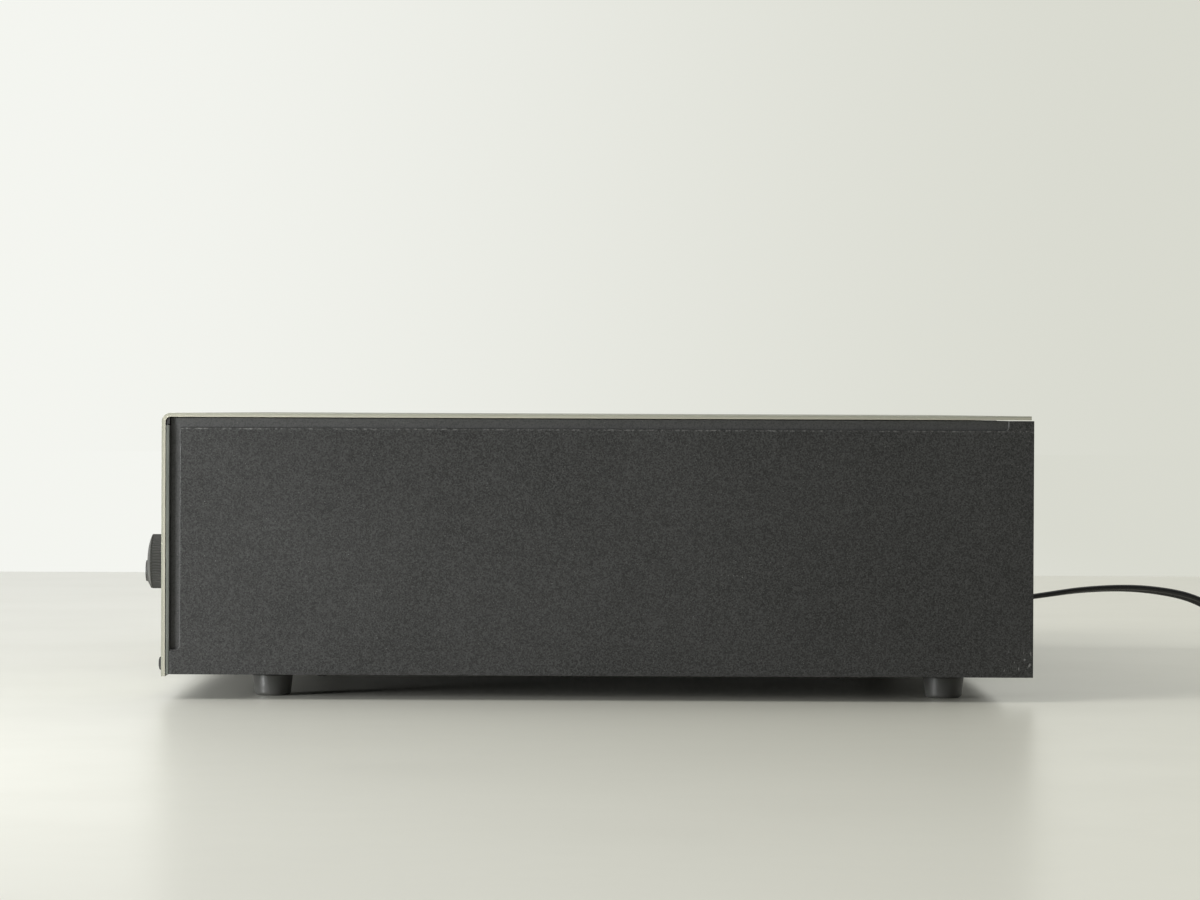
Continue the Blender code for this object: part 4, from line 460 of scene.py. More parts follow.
rear_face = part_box("rear_panel")[1].y
along = np.linspace(0, 1, 91)
taper = 0.0056 - 0.0022 * along
bands = np.clip(1.6 * np.sin(along * math.tau * 7 - 1.2) + 0.35, -1, 1)
body_line = np.stack([taper - 0.00055 + 0.00045 * bands * (along < 0.93), 0.0023 + 0.0230 * along], axis=1)
boot_line = np.vstack(
    [
        [(0.0, -0.0013)],
        eased_corners([(0.0048, -0.0013), (0.0049, 0.0003), (0.0075, 0.0003), (0.0075, 0.0023)], 0.0003),
        eased_corners([(0.0075, 0.0023), (0.0056, 0.0023)], 0.0003),
        body_line,
        [(0.0026, 0.0253), (0.0, 0.0252)],
    ]
)
boot_rubber = plain_coat("boot_rubber", (0.014, 0.014, 0.014), (0.42, 0.2, 300, 3), (2200, 2, 0.00002, 0.6))
boot_grid = spun(boot_line, (exit_x, rear_face, exit_z), "rear", 56)
boot = surface("lead_boot", [boot_grid], boot_rubber, "chassis")
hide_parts("cord_boot")

plug_middle_y = (plug_low.y + plug_high.y) / 2
plug_front = plug_back + 0.034
station = np.array(
    [
        (0.0000, 0.0001, 0.0001),
        (0.0000, 0.0036, 0.0030),
        (0.0004, 0.0046, 0.0040),
        (0.0012, 0.0052, 0.0046),
        (0.0060, 0.0070, 0.0055),
        (0.0110, 0.0098, 0.0062),
        (0.0153, 0.0120, 0.0066),
        (0.0190, 0.0128, 0.0068),
        (0.0260, 0.01295, 0.00683),
        (0.0320, 0.01290, 0.00680),
        (0.0334, 0.0126, 0.0065),
        (0.0340, 0.0119, 0.0058),
        (0.0340, 0.0001, 0.0001),
    ]
)
turn = np.linspace(0, math.tau, 64, endpoint=False)
shape_u = np.sign(np.cos(turn)) * np.abs(np.cos(turn)) ** 0.42
shape_v = np.sign(np.sin(turn)) * np.abs(np.sin(turn)) ** 0.42
plug_grid = np.stack(
    [
        plug_back + station[:, :1] + 0 * shape_u,
        plug_middle_y + station[:, 1:2] * shape_u,
        plug_z + station[:, 2:] * shape_v,
    ],
    axis=2,
)
plug_plastic = plain_coat(
    "moulded_plug", (0.012, 0.012, 0.012), (0.36, 0.2, 220, 3), (1800, 2, 0.00003, 0.6)
)
plug = surface("lead_plug", [plug_grid], plug_plastic, "chassis")
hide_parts("mains_plug")
pin_line = eased_corners([(0.0, 0.0189), (0.0015, 0.0189), (0.00195, 0.0178), (0.00195, 0.0102)], 0.0003)
pin_line = np.vstack([pin_line, [(0.0, 0.0102)]])
sleeve_line = [(0.0, 0.0102), (0.0018, 0.0102), (0.0020, 0.0100), (0.0020, -0.0010), (0.0, -0.0010)]
PIN_APART = 0.0093
nickel = Coat("nickel_pins", {"Base Color": (0.62, 0.60, 0.55, 1), "Metallic": 1.0})
nickel.roughen(0.18, 0.2, 900, 2)
for grids_name, line, coat in (("plug_pins", pin_line, nickel), ("plug_sleeves", sleeve_line, plug_plastic)):
    grids = [spun(line, (plug_front, plug_middle_y + s * PIN_APART, plug_z), "right", 24) for s in (-1, 1)]
    surface(grids_name, grids, coat, "chassis")

tie_low, tie_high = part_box("mains_cord_tie")
tie_y = (tie_low.y + tie_high.y) / 2
wraps = lead[(np.abs(lead[:, 1] - tie_y) < 0.0045) & (lead[:, 0] > COIL_CENTRE[0])]
around = (0.0020, 0, 0.0031)
tie_low = np.maximum(wraps.min(axis=0) - around, tie_low)
tie_high = np.minimum(wraps.max(axis=0) + around, tie_high)
tie_half = (tie_high - tie_low)[[0, 2]] / 2
tie_centre = (tie_high + tie_low) / 2


def rounded_box(half_wide, half_high, corner, steps=6):
    """A rectangle whose corners are quarter circles, as points all the way round."""
    points = []
    for quarter, (su, sv) in enumerate(((1, 1), (-1, 1), (-1, -1), (1, -1))):
        angle = np.radians(np.linspace(90 * quarter, 90 * quarter + 90, steps + 1))
        u = su * (half_wide - corner) + corner * np.cos(angle)
        v = sv * (half_high - corner) + corner * np.sin(angle)
        points.append(np.stack([u, v], axis=1))
    return np.vstack(points)


band_rows = []
for wall, half_wide in ((0.0006, 0.0040), (0.0, 0.0037), (0.0, -0.0037), (0.0006, -0.0040), (0.0006, 0.0040)):
    loop = rounded_box(tie_half[0] - wall, tie_half[1] - wall, 0.0022 - wall)
    y = np.full(len(loop), tie_y + half_wide)
    band_rows.append(np.stack([tie_centre[0] + loop[:, 0], y, tie_centre[2] + loop[:, 1]], axis=1))
tie = surface("lead_tie", [np.array(band_rows)], plug_plastic, "chassis", smooth=40)
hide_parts("mains_cord_tie")


# The cover: one steel sheet 1.5 mm thick, stove-enamelled a warm grey and bent over the front's top
# edge. Its cut edge stays visible at the sides; the inner half of it is painted lighter than its outer
# rounded part: a painted highlight.
def eased(node, coat, width, segments=2):
    """A copy of a solid whose flat faces are joined up and whose edges are rounded off.

    A corner's normal is the sum of its faces' normals times their areas, so wide faces stay flat.
    """
    solid = frame["nodes"][node]
    bm = bmesh.new()
    bm.from_mesh(solid.data)
    bm.transform(solid.matrix_world)
    bmesh.ops.remove_doubles(bm, verts=bm.verts, dist=2e-6)
    bmesh.ops.dissolve_limit(bm, angle_limit=math.radians(0.8), verts=bm.verts, edges=bm.edges)
    bends = [e for e in bm.edges if e.is_manifold and e.calc_face_angle() > math.radians(32)]
    bmesh.ops.bevel(
        bm, geom=bends, offset=width, segments=segments, affect="EDGES", profile=0.5, clamp_overlap=True
    )
    mesh = bpy.data.meshes.new(node + "_eased")
    bm.to_mesh(mesh)
    bm.free()
    mesh.shade_smooth()
    corner = np.zeros(len(mesh.loops), np.int32)
    mesh.loops.foreach_get("vertex_index", corner)
    sides = np.zeros(len(mesh.polygons), np.int32)
    mesh.polygons.foreach_get("loop_total", sides)
    area = np.zeros(len(mesh.polygons))
    mesh.polygons.foreach_get("area", area)
    facing = np.zeros(len(mesh.polygons) * 3)
    mesh.polygons.foreach_get("normal", facing)
    total = np.zeros((len(mesh.vertices), 3))
    np.add.at(total, corner, np.repeat(facing.reshape(-1, 3) * area[:, None], sides, axis=0))
    total /= np.maximum(np.linalg.norm(total, axis=1)[:, None], 1e-12)
    mesh.normals_split_custom_set_from_vertices(total)
    mesh.materials.clear()
    mesh.materials.append(coat.material)
    piece = bpy.data.objects.new(node + "_eased", mesh)
    scene.collection.objects.link(piece)
    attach(piece, solid["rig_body"])
    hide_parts(node)
    return piece


cover_low, cover_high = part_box("wrap_cover")
enamel = Coat("warm_grey_enamel", {})
x, y, z = (enamel.part(enamel.place, k) for k in range(3))
cut_edge = abs(x) > cover_high.x - 0.0002
depth = (y - cover_low.y).math("MINIMUM", y - cover_low.y, cover_high.z - z)
# Painted highlight: the inner half of the cut edge is painted a lighter colour.
painted_edge_highlight = depth.rise(0.00055, 0.00085) * cut_edge
cloud = enamel.noise(22, 4).rise(0.3, 0.7)
tone = enamel.mixed(cloud, (0.262, 0.264, 0.214), (0.274, 0.276, 0.225))
enamel.tint(painted_edge_highlight, tone, (0.315, 0.307, 0.250))
enamel.feed("Roughness", 0.36 + 0.14 * enamel.noise(140, 4) + 0.12 * cut_edge)
enamel.bump(enamel.noise(1500, 2) + 0.5 * enamel.noise(5200, 2), 0.000045, 0.55)
eased("wrap_cover", enamel, 0.0002, 2)


# The backing: plain grey sheet behind the front, which shows at the sides as a second line. A strip
# of black foam tape seals each side panel against the cover.
primer = Coat("grey_primer", {"Roughness": 0.7})
primer.tint(primer.noise(60, 4).rise(0.3, 0.7), (0.070, 0.077, 0.066), (0.088, 0.094, 0.082))
primer.pit(2500, 2, 0.00003, 0.5)
eased("front_backing", primer, 0.0001, 1)

foam = Coat("black_foam", {"Base Color": (0.012, 0.012, 0.012, 1), "Roughness": 0.95})
foam.pit(1600, 3, 0.0002, 0.8)
side_low, side_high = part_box("side_panel_right")
foam_section = rounded_box(0.0025, 0.0021, 0.0006, 3)
for name, sign in (("foam_tape_left", -1), ("foam_tape_right", 1)):
    stops = np.array([side_low.y + 0.002, side_low.y + 0.002, side_high.y - 0.014, side_high.y - 0.014])
    size = np.array([0.001, 1, 1, 0.001])
    middle_x = sign * (side_low.x - 0.0029)
    middle_z = cover_high.z - 0.0015 - 0.0022
    tape = np.stack(
        [
            middle_x + size[:, None] * foam_section[:, 0],
            stops[:, None] + 0 * foam_section[:, 0],
            middle_z + size[:, None] * foam_section[:, 1],
        ],
        axis=2,
    )
    surface(name, [tape], foam, "chassis")


# The side panels: steel with a charcoal texture paint, a few of whose grains are painted pale as painted
# glints. A groove let into the outer face follows the cover's front and top; inside it the paint is painted
# lighter, painted light against its shade, and a broken pale line along its upper edge is painted highlight
# and partly edge wear. Handling has left a few pale scratches.
texture_paint = Coat("charcoal_texture_paint", {"Specular IOR Level": 0.5})
x, y, z = (texture_paint.part(texture_paint.place, k) for k in range(3))
grain_field = {"Vector": texture_paint.place, "Scale": 2100}
grains = texture_paint.add("ShaderNodeTexVoronoi", {"feature": "F1"}, grain_field, "Distance")
grain_tone = texture_paint.add("ShaderNodeTexVoronoi", {"feature": "F1"}, grain_field, "Color")
fine = texture_paint.part(grain_tone, 0)
painted_glint_grains = texture_paint.part(grain_tone, 1).rise(0.982, 1.0) * (1 - grains.rise(0.2, 0.5))
dust = texture_paint.noise(14, 5, 0.62).rise(0.35, 0.7)
painted_light_inside_face = abs(x) < side_high.x - 0.001
OUTER_FACE_X = 0.2217
GROOVE_STEP_X = 0.2205
GROOVE_STEP_Z = 0.1041
GROOVE_FRONT_Y = -0.1538
outer_face = abs(x) > OUTER_FACE_X
mark_area = y.rise(0.1585, 0.1630) * (0.021 - z).rise(0.0, 0.003) * outer_face
fleck_area = (0.017 - abs(y - 0.062)).rise(0, 0.010) * (0.009 - abs(z - 0.0500)).rise(0, 0.006) * outer_face
marks = (
    texture_paint.noise(1300, 2, 0.5, (1, 0.9, 0.35)).rise(0.64, 0.70) * mark_area
    + texture_paint.noise(1500, 2, 0.5).rise(0.70, 0.74) * fleck_area
)
specks = texture_paint.noise(900, 1, 0.5).rise(0.80, 0.84)
# A broken pale line along the groove's upper edge: a painted highlight, partly edge wear.
step_highlight_and_wear = (0.0004 - abs(z - GROOVE_STEP_Z)).rise(0, 0.0002) * texture_paint.noise(900, 3).rise(0.45, 0.65)
step_highlight_and_wear = step_highlight_and_wear * (y > GROOVE_FRONT_Y) * (abs(x) > GROOVE_STEP_X)
wear_and_step_highlight = marks * 0.6 + specks * 0.5 + step_highlight_and_wear * 0.32
wear_and_step_highlight = wear_and_step_highlight.math("MINIMUM", wear_and_step_highlight, 1.0)
tone = texture_paint.mixed(dust, (0.0040, 0.0042, 0.0041), (0.0060, 0.0062, 0.0059))
# Grains are mixed in. Everything inward of the side panels' outer faces (the groove, and also the rear sheet)
# is painted lighter: painted light against the groove's shade.
tone = texture_paint.mixed(fine * 0.75 + painted_light_inside_face * 0.55, tone, (0.0520, 0.0525, 0.0520))
# A few grains painted pale: a painted glint.
tone = texture_paint.mixed(painted_glint_grains * 0.5, tone, (0.20, 0.20, 0.19))
texture_paint.tint(wear_and_step_highlight, tone, (0.24, 0.24, 0.235))
texture_paint.feed("Roughness", 0.42 + 0.08 * dust - 0.1 * painted_glint_grains)
texture_paint.bump(grains * 0.7 + 0.6 * texture_paint.noise(3200, 2), 0.00006, 0.6)
for node in ("side_panel_left", "side_panel_right"):
    eased(node, texture_paint, 0.00018, 2)

# Corner beads: the same paint fills the joints between each side panel and the backing, so that no black
# gap shows there.
for name, sign in (("corner_bead_left", -1), ("corner_bead_right", 1)):
    beads = []
    for middle, half in (((-0.15885, 0.1068), (0.0006, 0.0013)), ((-0.15815, 0.0575), (0.00015, 0.0478))):
        bead = rounded_box(*half, half[0] * 0.5, 3)
        stops = np.array([0.2188, 0.2188, 0.2221, 0.2221])[:, None] * sign
        size = np.array([0.001, 1, 1, 0.001])[:, None]
        rows = [stops + 0 * bead[:, 0], middle[0] + size * bead[:, 0], middle[1] + size * bead[:, 1]]
        beads.append(np.stack(rows, axis=2))
    surface(name, beads, texture_paint, "chassis")


# The bottom sheet: steel painted black, pressed down inside its rim. Four black plastic feet are screwed
# to the pressed part, tapered and rounded off where they meet the table.
pan_paint = Coat("black_pan_paint", {})
pan_paint.tint(pan_paint.noise(40, 4).rise(0.3, 0.7), (0.016, 0.016, 0.015), (0.022, 0.022, 0.021))
pan_paint.roughen(0.48, 0.2, 220, 3)
pan_paint.pit(1500, 2, 0.00004, 0.5)
eased("bottom_pan", pan_paint, 0.0004)

foot_plastic = plain_coat(
    "foot_plastic", (0.060, 0.060, 0.056), (0.34, 0.22, 260, 3), (1400, 3, 0.00005, 0.6)
)
for node in ("foot_front_left", "foot_front_right", "foot_rear_left", "foot_rear_right"):
    low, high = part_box(node)
    middle = ((low.x + high.x) / 2, (low.y + high.y) / 2, 0)
    outline = [(0, 0.0016), (0.0032, 0.0016), (0.0034, 0.0), (0.0062, 0.0), (0.0071, 0.0009)]
    outline += [(0.0079, high.z), (0.0070, high.z)]
    line = np.vstack([eased_corners(outline, 0.0005, 4), [(0, high.z)]])
    name = node.replace("foot", "round_foot")
    foot = surface(name, [spun(line, middle, "up", 72)], foot_plastic, "chassis")
    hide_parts(node)


# The rear: a steel sheet in the same texture paint, screwed on at its edges, with vents beside the
# transformer and four line sockets, each a plated ring round a coloured insulator.
eased("rear_panel", texture_paint, 0.0002, 1)


def cross_heads(places, facing, size):
    """Domed round heads with a cross pressed in: height falls off with the radius squared."""
    radius = size * np.array([0, 0.1, 0.2, 0.3, 0.4, 0.5, 0.58, 0.66, 0.75, 0.85, 0.94, 1.0, 1.0])[:, None]
    angle = np.linspace(0, math.tau, 48, endpoint=False)[None]
    u = radius * np.cos(angle)
    v = radius * np.sin(angle)
    height = 0.42 * size * np.sqrt(np.clip(1 - 0.8 * (radius / size) ** 2, 0, 1)) + 0 * u
    cross = (np.minimum(np.abs(u), np.abs(v)) < 0.13 * size) & (radius < 0.6 * size)
    height = height - 0.30 * size * cross
    height[-1] = -0.0003
    return [np.stack([u, v, height], axis=2) @ TURNING[facing] + np.array(p) for p in places]


def pillow(centre, half, corner, stations, facing):
    """Rounded rectangles stacked along an axis; each station gives its inset and its height."""
    rows = []
    for inset, height in stations:
        inset = min(inset, min(half))
        loop = rounded_box(half[0] - inset, half[1] - inset, max(corner - inset, 0))
        rows.append(np.column_stack([loop, np.full(len(loop), height)]))
    return np.array(rows) @ TURNING[facing] + np.array(centre)


black_screw = Coat("blackened_screws", {"Base Color": (0.035, 0.034, 0.033, 1), "Metallic": 1.0})
black_screw.roughen(0.32, 0.2, 1500, 2)
rear_places = [(x, rear_face, z) for x in (-0.205, -0.07, 0.07, 0.205) for z in (0.0165, 0.1010)]
surface("rear_screws", cross_heads(rear_places, "rear", 0.0030), black_screw, "chassis", (False, True), 28)
rim_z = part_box("bottom_pan")[0].z + 0.0012
pan_places = [(s * 0.212, y, rim_z) for s in (-1, 1) for y in (-0.10, 0.0, 0.10)]
pan_places += [(x, 0.1583, rim_z) for x in (-0.15, 0.0, 0.15)]
surface("bottom_screws", cross_heads(pan_places, "down", 0.0028), black_screw, "chassis", (False, True), 28)

socket_low, socket_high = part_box("line_sockets")
strip_plastic = plain_coat(
    "socket_strip", (0.018, 0.018, 0.018), (0.45, 0.15, 300, 2), (2000, 2, 0.00003, 0.5)
)
white_ring = plain_coat("white_insulator", (0.72, 0.71, 0.67), (0.36, 0.12, 400, 2))
red_ring = plain_coat("red_insulator", (0.42, 0.022, 0.018), (0.36, 0.12, 400, 2))
socket_x = (socket_low.x + socket_high.x) / 2
socket_z = (socket_low.z + socket_high.z) / 2
strip_steps = [(0.015, 0), (0, 0), (0, 0.0011), (0.0004, 0.0015), (0.015, 0.0015)]
strip_grid = pillow((socket_x, socket_low.y, socket_z), (0.015, 0.015), 0.0015, strip_steps, "rear")
strip = surface("socket_strip", [strip_grid], strip_plastic, "chassis")
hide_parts("line_sockets")
sleeve = [(0.0033, 0.0012), (0.0041, 0.0012), (0.0041, 0.0078), (0.0036, 0.0078), (0.0036, 0.0012)]
sleeve = eased_corners(sleeve, 0.0002)
cup = [(0.0036, 0.0012), (0.0036, 0.0068), (0.0019, 0.0068), (0.0017, 0.0066), (0.0017, 0.0012)]
cup = eased_corners(cup, 0.0003)
SOCKET_APART = 0.007
collar = eased_corners([(0.0040, 0.0014), (0.0058, 0.0014), (0.0058, 0.0021), (0.0040, 0.0024)], 0.0003)
for side, coat in ((1, white_ring), (-1, red_ring)):
    places = [(socket_x + side * SOCKET_APART, socket_low.y, socket_z + up * SOCKET_APART) for up in (-1, 1)]
    name = "white" if side > 0 else "red"
    surface(name + "_inserts", [spun(cup, p, "rear", 40) for p in places], coat, "chassis", (True, True))
    surface(name + "_collars", [spun(collar, p, "rear", 40) for p in places], coat, "chassis", (True, True))
ring_steps = [(a * SOCKET_APART, b * SOCKET_APART) for a in (-1, 1) for b in (-1, 1)]
ring_places = [(socket_x + a, socket_low.y, socket_z + b) for a, b in ring_steps]
surface("socket_sleeves", [spun(sleeve, p, "rear", 40) for p in ring_places], nickel, "chassis", (True, True))


# The cassette door: the cover's enamel on a 3 mm plate that is rolled round a pin at its lower edge.
# A smoked acrylic pane is glued into it, printed on its back with a plain scale of the tape left.
def add_film(bm, drawing, move):
    """Puts the mesh of a flat drawing, moved by a matrix, into a mesh that is being built."""
    holder = bpy.data.objects.new("drawing", drawing)
    scene.collection.objects.link(holder)
    film = bpy.data.meshes.new_from_object(holder.evaluated_get(bpy.context.evaluated_depsgraph_get()))
    bpy.data.objects.remove(holder)
    film.transform(move)
    bm.from_mesh(film)
    bpy.data.meshes.remove(film)


def stamped(name, drawings, y, coat, body):
    """Flat curves made into one thin film on a plane that faces the front; each has its place x, z."""
    bm = bmesh.new()
    for curve, x, z in drawings:
        add_film(bm, curve, Matrix.Translation((x, y, z)) @ Matrix.Rotation(math.radians(90), 4, "X"))
    bmesh.ops.remove_doubles(bm, verts=bm.verts, dist=1e-7)
    mesh = bpy.data.meshes.new(name)
    bm.to_mesh(mesh)
    bm.free()
    mesh.materials.clear()
    mesh.materials.append(coat.material)
    piece = bpy.data.objects.new(name, mesh)
    scene.collection.objects.link(piece)
    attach(piece, body)
    return piece


def drawn(outlines, thick=0.00005):
    """A flat drawing made of closed outlines."""
    curve = bpy.data.curves.new("drawing", "CURVE")
    curve.dimensions = "2D"
    curve.fill_mode = "BOTH"
    curve.extrude = thick
    for outline in outlines:
        spline = curve.splines.new("POLY")
        spline.points.add(len(outline) - 1)
        for point, (u, v) in zip(spline.points, outline):
            point.co = (u, v, 0, 1)
        spline.use_cyclic_u = True
    return curve


def bar(u, v, wide, high):
    """The four corners of an upright rectangle round its middle."""
    return [(u + a * wide / 2, v + b * high / 2) for a, b in ((-1, -1), (1, -1), (1, 1), (-1, 1))]


def figure(text, size, thick=0.00005):
    """A plain number, centred."""
    curve = bpy.data.curves.new("figure", "FONT")
    curve.body = text
    curve.size = size
    curve.align_x = "CENTER"
    curve.align_y = "CENTER"
    curve.extrude = thick
    return curve


eased("cassette_door", enamel, 0.0004, 3)

smoked = Coat("smoked_acrylic", {"Base Color": (0.010, 0.0095, 0.009, 1), "IOR": 1.49})
smoked.feed("Roughness", 0.03 + 0.10 * smoked.noise(40, 5, 0.6).rise(0.52, 0.8))
smoked.feed("Alpha", 0.34 + 0.06 * smoked.noise(12, 3))
eased("door_window", smoked, 0.0002)
pane_low, pane_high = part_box("door_window")
pane_x = (pane_low.x + pane_high.x) / 2
pane_z = (pane_low.z + pane_high.z) / 2
MARK_STEP = 0.003
white_ink = plain_coat("white_ink", (0.68, 0.67, 0.64), (0.5, 0.2, 900, 2))
marks = [bar(-0.0105 + MARK_STEP * i, 0, 0.0004, 0.0030 if i % 7 == 0 else 0.0018) for i in range(8)]
scale = [(drawn(marks), pane_x, pane_z + 0.0115)]
scale += [(figure(text, 0.0026), pane_x + u, pane_z + 0.0080) for text, u in (("0", -0.0105), ("60", 0.0105))]
stamped("tape_scale", scale, pane_high.y + 0.00006, white_ink, "cassette_door_body")

# The bay and the basket: black ABS mouldings. The basket swings out with the door on the steel pin,
# and it holds the cassette between two lipped rails.
black_abs = plain_coat("black_abs", (0.017, 0.017, 0.017), (0.46, 0.18, 240, 4), (2400, 2, 0.00004, 0.6))
eased("cassette_bay", black_abs, 0.0003)
eased("cassette_holder", black_abs, 0.0002)
bright_steel = Coat("bright_steel", {"Metallic": 1.0})
streaks = bright_steel.noise(500, 4, 0.6, (0.2, 1, 1))
bright_steel.tint(streaks.rise(0.35, 0.7), (0.60, 0.59, 0.57), (0.50, 0.49, 0.46))
bright_steel.feed("Roughness", 0.20 + 0.16 * streaks)
eased("door_hinge_pin", bright_steel, 0.0002)


# The eject button: black moulding with a pillowed face and a pale triangle over a bar.
def button(node, corner, edge, dome, coat):
    """A push button in a solid's place: rounded edge, and a face that rises by the dome's height."""
    low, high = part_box(node)
    half = ((high.x - low.x) / 2, (high.z - low.z) / 2)
    proud = -low.y
    short = min(half)
    stations = [(short, -high.y), (0.0004, -high.y), (0.0, -high.y + 0.0004), (0.0, proud - edge - dome)]
    turn = np.radians([20, 40, 60, 80])
    stations += [(edge * (1 - math.cos(a)), proud - dome - edge * (1 - math.sin(a))) for a in turn]
    share = np.linspace(0, 1, 9)
    stations += [(edge + (short - edge) * s, proud - dome * (1 - s) ** 2) for s in share]
    middle = ((low.x + high.x) / 2, 0, (low.z + high.z) / 2)
    body = frame["nodes"][node]["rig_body"]
    grid = pillow(middle, half, corner, stations, "front")
    piece = surface(node + "_cap", [grid], coat, body, smooth=50)
    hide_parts(node)
    return middle[0], proud, middle[2], body


knob_plastic = plain_coat(
    "dark_knob_plastic", (0.031, 0.031, 0.029), (0.34, 0.2, 320, 4), (2600, 2, 0.00003, 0.5)
)
x, proud, z, body = button("eject_button", 0.0008, 0.0006, 0.0002, knob_plastic)
symbol = [[(-0.0012, -0.0002), (0.0012, -0.0002), (0, 0.0013)], bar(0, -0.0009, 0.0024, 0.0006)]
stamped("eject_symbol", [(drawn(symbol), x, z)], -proud - 0.00001, white_ink, body)

# The transport's plate: zinc-plated and yellow-passivated steel behind the bay, with its studs and
# the posts that the motor is screwed to.
passivated = Coat("passivated_steel", {"Metallic": 1.0})
patch = passivated.noise(45, 5, 0.6).rise(0.35, 0.7)
passivated.tint(patch, (0.56, 0.53, 0.42), (0.50, 0.43, 0.28))
passivated.roughen(0.30, 0.18, 400, 4)
passivated.pit(1200, 3, 0.00002, 0.4)
eased("mechanism_plate", passivated, 0.00015)
plate_y = -0.1423
transport_screws = [(x, plate_y, z) for x in (-0.1890, -0.0870) for z in (0.0200, 0.0960)]
heads = cross_heads(transport_screws, "front", 0.0022)
surface("transport_screws", heads, nickel, "chassis", (False, True), 28)

# The spindles: one white acetal moulding each, with six fins for the cassette's hub in front of the
# plate, and a small grooved pulley behind it.
acetal = Coat("white_acetal", {"Base Color": (0.70, 0.69, 0.65, 1), "Subsurface Weight": 0.1})
acetal.roughen(0.38, 0.16, 300, 3)
acetal.pit(1500, 2, 0.00002, 0.4)


def six_fins(angle, radius, height):
    """The hub's radius grows to the fins' within their thickness, and less and less near the tip."""
    beside = np.abs((angle + math.pi / 6) % (math.pi / 3) - math.pi / 6) * 0.0042
    fin = np.clip((0.00072 - beside) / 0.00022, 0, 1)
    there = (radius < 0.0034) * (height > 0.0019) * np.clip((0.0094 - height) / 0.0014, 0, 1)
    return 1 + fin * there * (0.0047 / 0.0033 - 1)


spindle_line = [(0.0021, 0.0096), (0.0033, 0.0084), (0.0033, 0.0070), (0.0033, 0.0021), (0.0090, 0.0020)]
spindle_line += [(0.0090, 0.0003), (0.0015, 0.0003), (0.0015, -0.0015), (0.0060, -0.0015)]
spindle_line += [(0.0050, -0.0027), (0.0060, -0.0039), (0.0015, -0.0039)]
spindle_line = np.vstack([[(0, 0.0096)], eased_corners(spindle_line, 0.00025), [(0, -0.0039)]])
for node in ("supply_spindle", "takeup_spindle"):
    grid = spun(spindle_line, middle_of(node, plate_y), "front", 168, six_fins)
    piece = surface("finned_" + node, [grid], acetal, node + "_body", smooth=40)
    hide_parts(node)


# The flywheel: turned brass pressed on the capstan, a ground steel shaft. A flat rubber belt drives it
# from the motor's small pulley.
def lathe_rings(coat, x, z, count):
    """Fine rings round an axis along Y: the sine of the radius times a count per metre."""
    across = coat.part(coat.place, 0) - x
    up = coat.part(coat.place, 2) - z
    radius = (across * across + up * up) ** 0.5
    return radius.math("SINE", radius * count)


wheel = middle_of("capstan_flywheel", plate_y)
brass = Coat("turned_brass", {"Metallic": 1.0})
rings = lathe_rings(brass, wheel[0], wheel[2], 24000)
brass.tint(brass.noise(30, 4).rise(0.35, 0.7), (0.66, 0.51, 0.27), (0.55, 0.42, 0.22))
brass.feed("Roughness", 0.22 + 0.05 * rings + 0.1 * brass.noise(200, 3))
brass.bump(rings, 0.000008, 0.5)
wheel_line = [(0.0060, -0.0039), (0.0060, -0.0049), (0.0280, -0.0049), (0.0280, -0.0109), (0.0235, -0.0109)]
wheel_line += [(0.0235, -0.0079), (0.0060, -0.0079), (0.0060, -0.0109), (0.0010, -0.0109)]
wheel_line = np.vstack([[(0, -0.0039), (0.001, -0.0039)], eased_corners(wheel_line, 0.0004), [(0, -0.0109)]])
flywheel = surface("flywheel", [spun(wheel_line, wheel, "front", 144)], brass, "flywheel_body")
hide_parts("capstan_flywheel")
shaft_line = [(0, 0.0094), (0.0010, 0.0094), (0.00125, 0.0091), (0.00125, -0.0042), (0, -0.0042)]
surface("capstan", [spun(shaft_line, wheel, "front", 40)], bright_steel, "flywheel_body", smooth=30)

pulley = (*middle_of("motor_pulley")[:2], wheel[2])
flank = [(0.0013, 0.0027), (0.0055, 0.0027), (0.0055, 0.0017), (0.0040, 0.0017), (0.0042, 0)]
flank = eased_corners(flank, 0.0003)
pulley_line = np.vstack([flank, flank[::-1][1:] * (1, -1)])
pulley_brass = surface(
    "crowned_pulley", [spun(pulley_line, pulley, "front", 64)], brass, "motor_pulley_body", (True, True)
)
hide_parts("motor_pulley")

belt_rubber = plain_coat("belt_rubber", (0.014, 0.014, 0.015), (0.55, 0.2, 500, 3), (2600, 2, 0.00003, 0.5))
reach = math.acos((0.0280 - 0.0040) / (wheel[0] - pulley[0]))
on_wheel = np.linspace(reach - math.pi, math.pi - reach, 120)
on_pulley = np.linspace(math.pi - reach, math.pi + reach, 40)
facing = np.concatenate([on_wheel, on_pulley])
round_wheel = (np.arange(160) < 120)[:, None]
outwards = np.stack([np.cos(facing), np.sin(facing)], axis=1)
middle = np.where(round_wheel, (wheel[0], wheel[2]), (pulley[0], pulley[2])) + outwards * np.where(
    round_wheel, 0.0288, 0.0048
)
strip = rounded_box(0.0005, 0.0014, 0.0002, 3)
belt_grid = np.stack(
    [
        middle[:, :1] + outwards[:, :1] * strip[:, 0],
        pulley[1] + strip[:, 1] + 0 * middle[:, :1],
        middle[:, 1:] + outwards[:, 1:] * strip[:, 0],
    ],
    axis=2,
)
belt = surface("flat_belt", [belt_grid], belt_rubber, "chassis", (True, True), 50)
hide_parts("drive_belt")

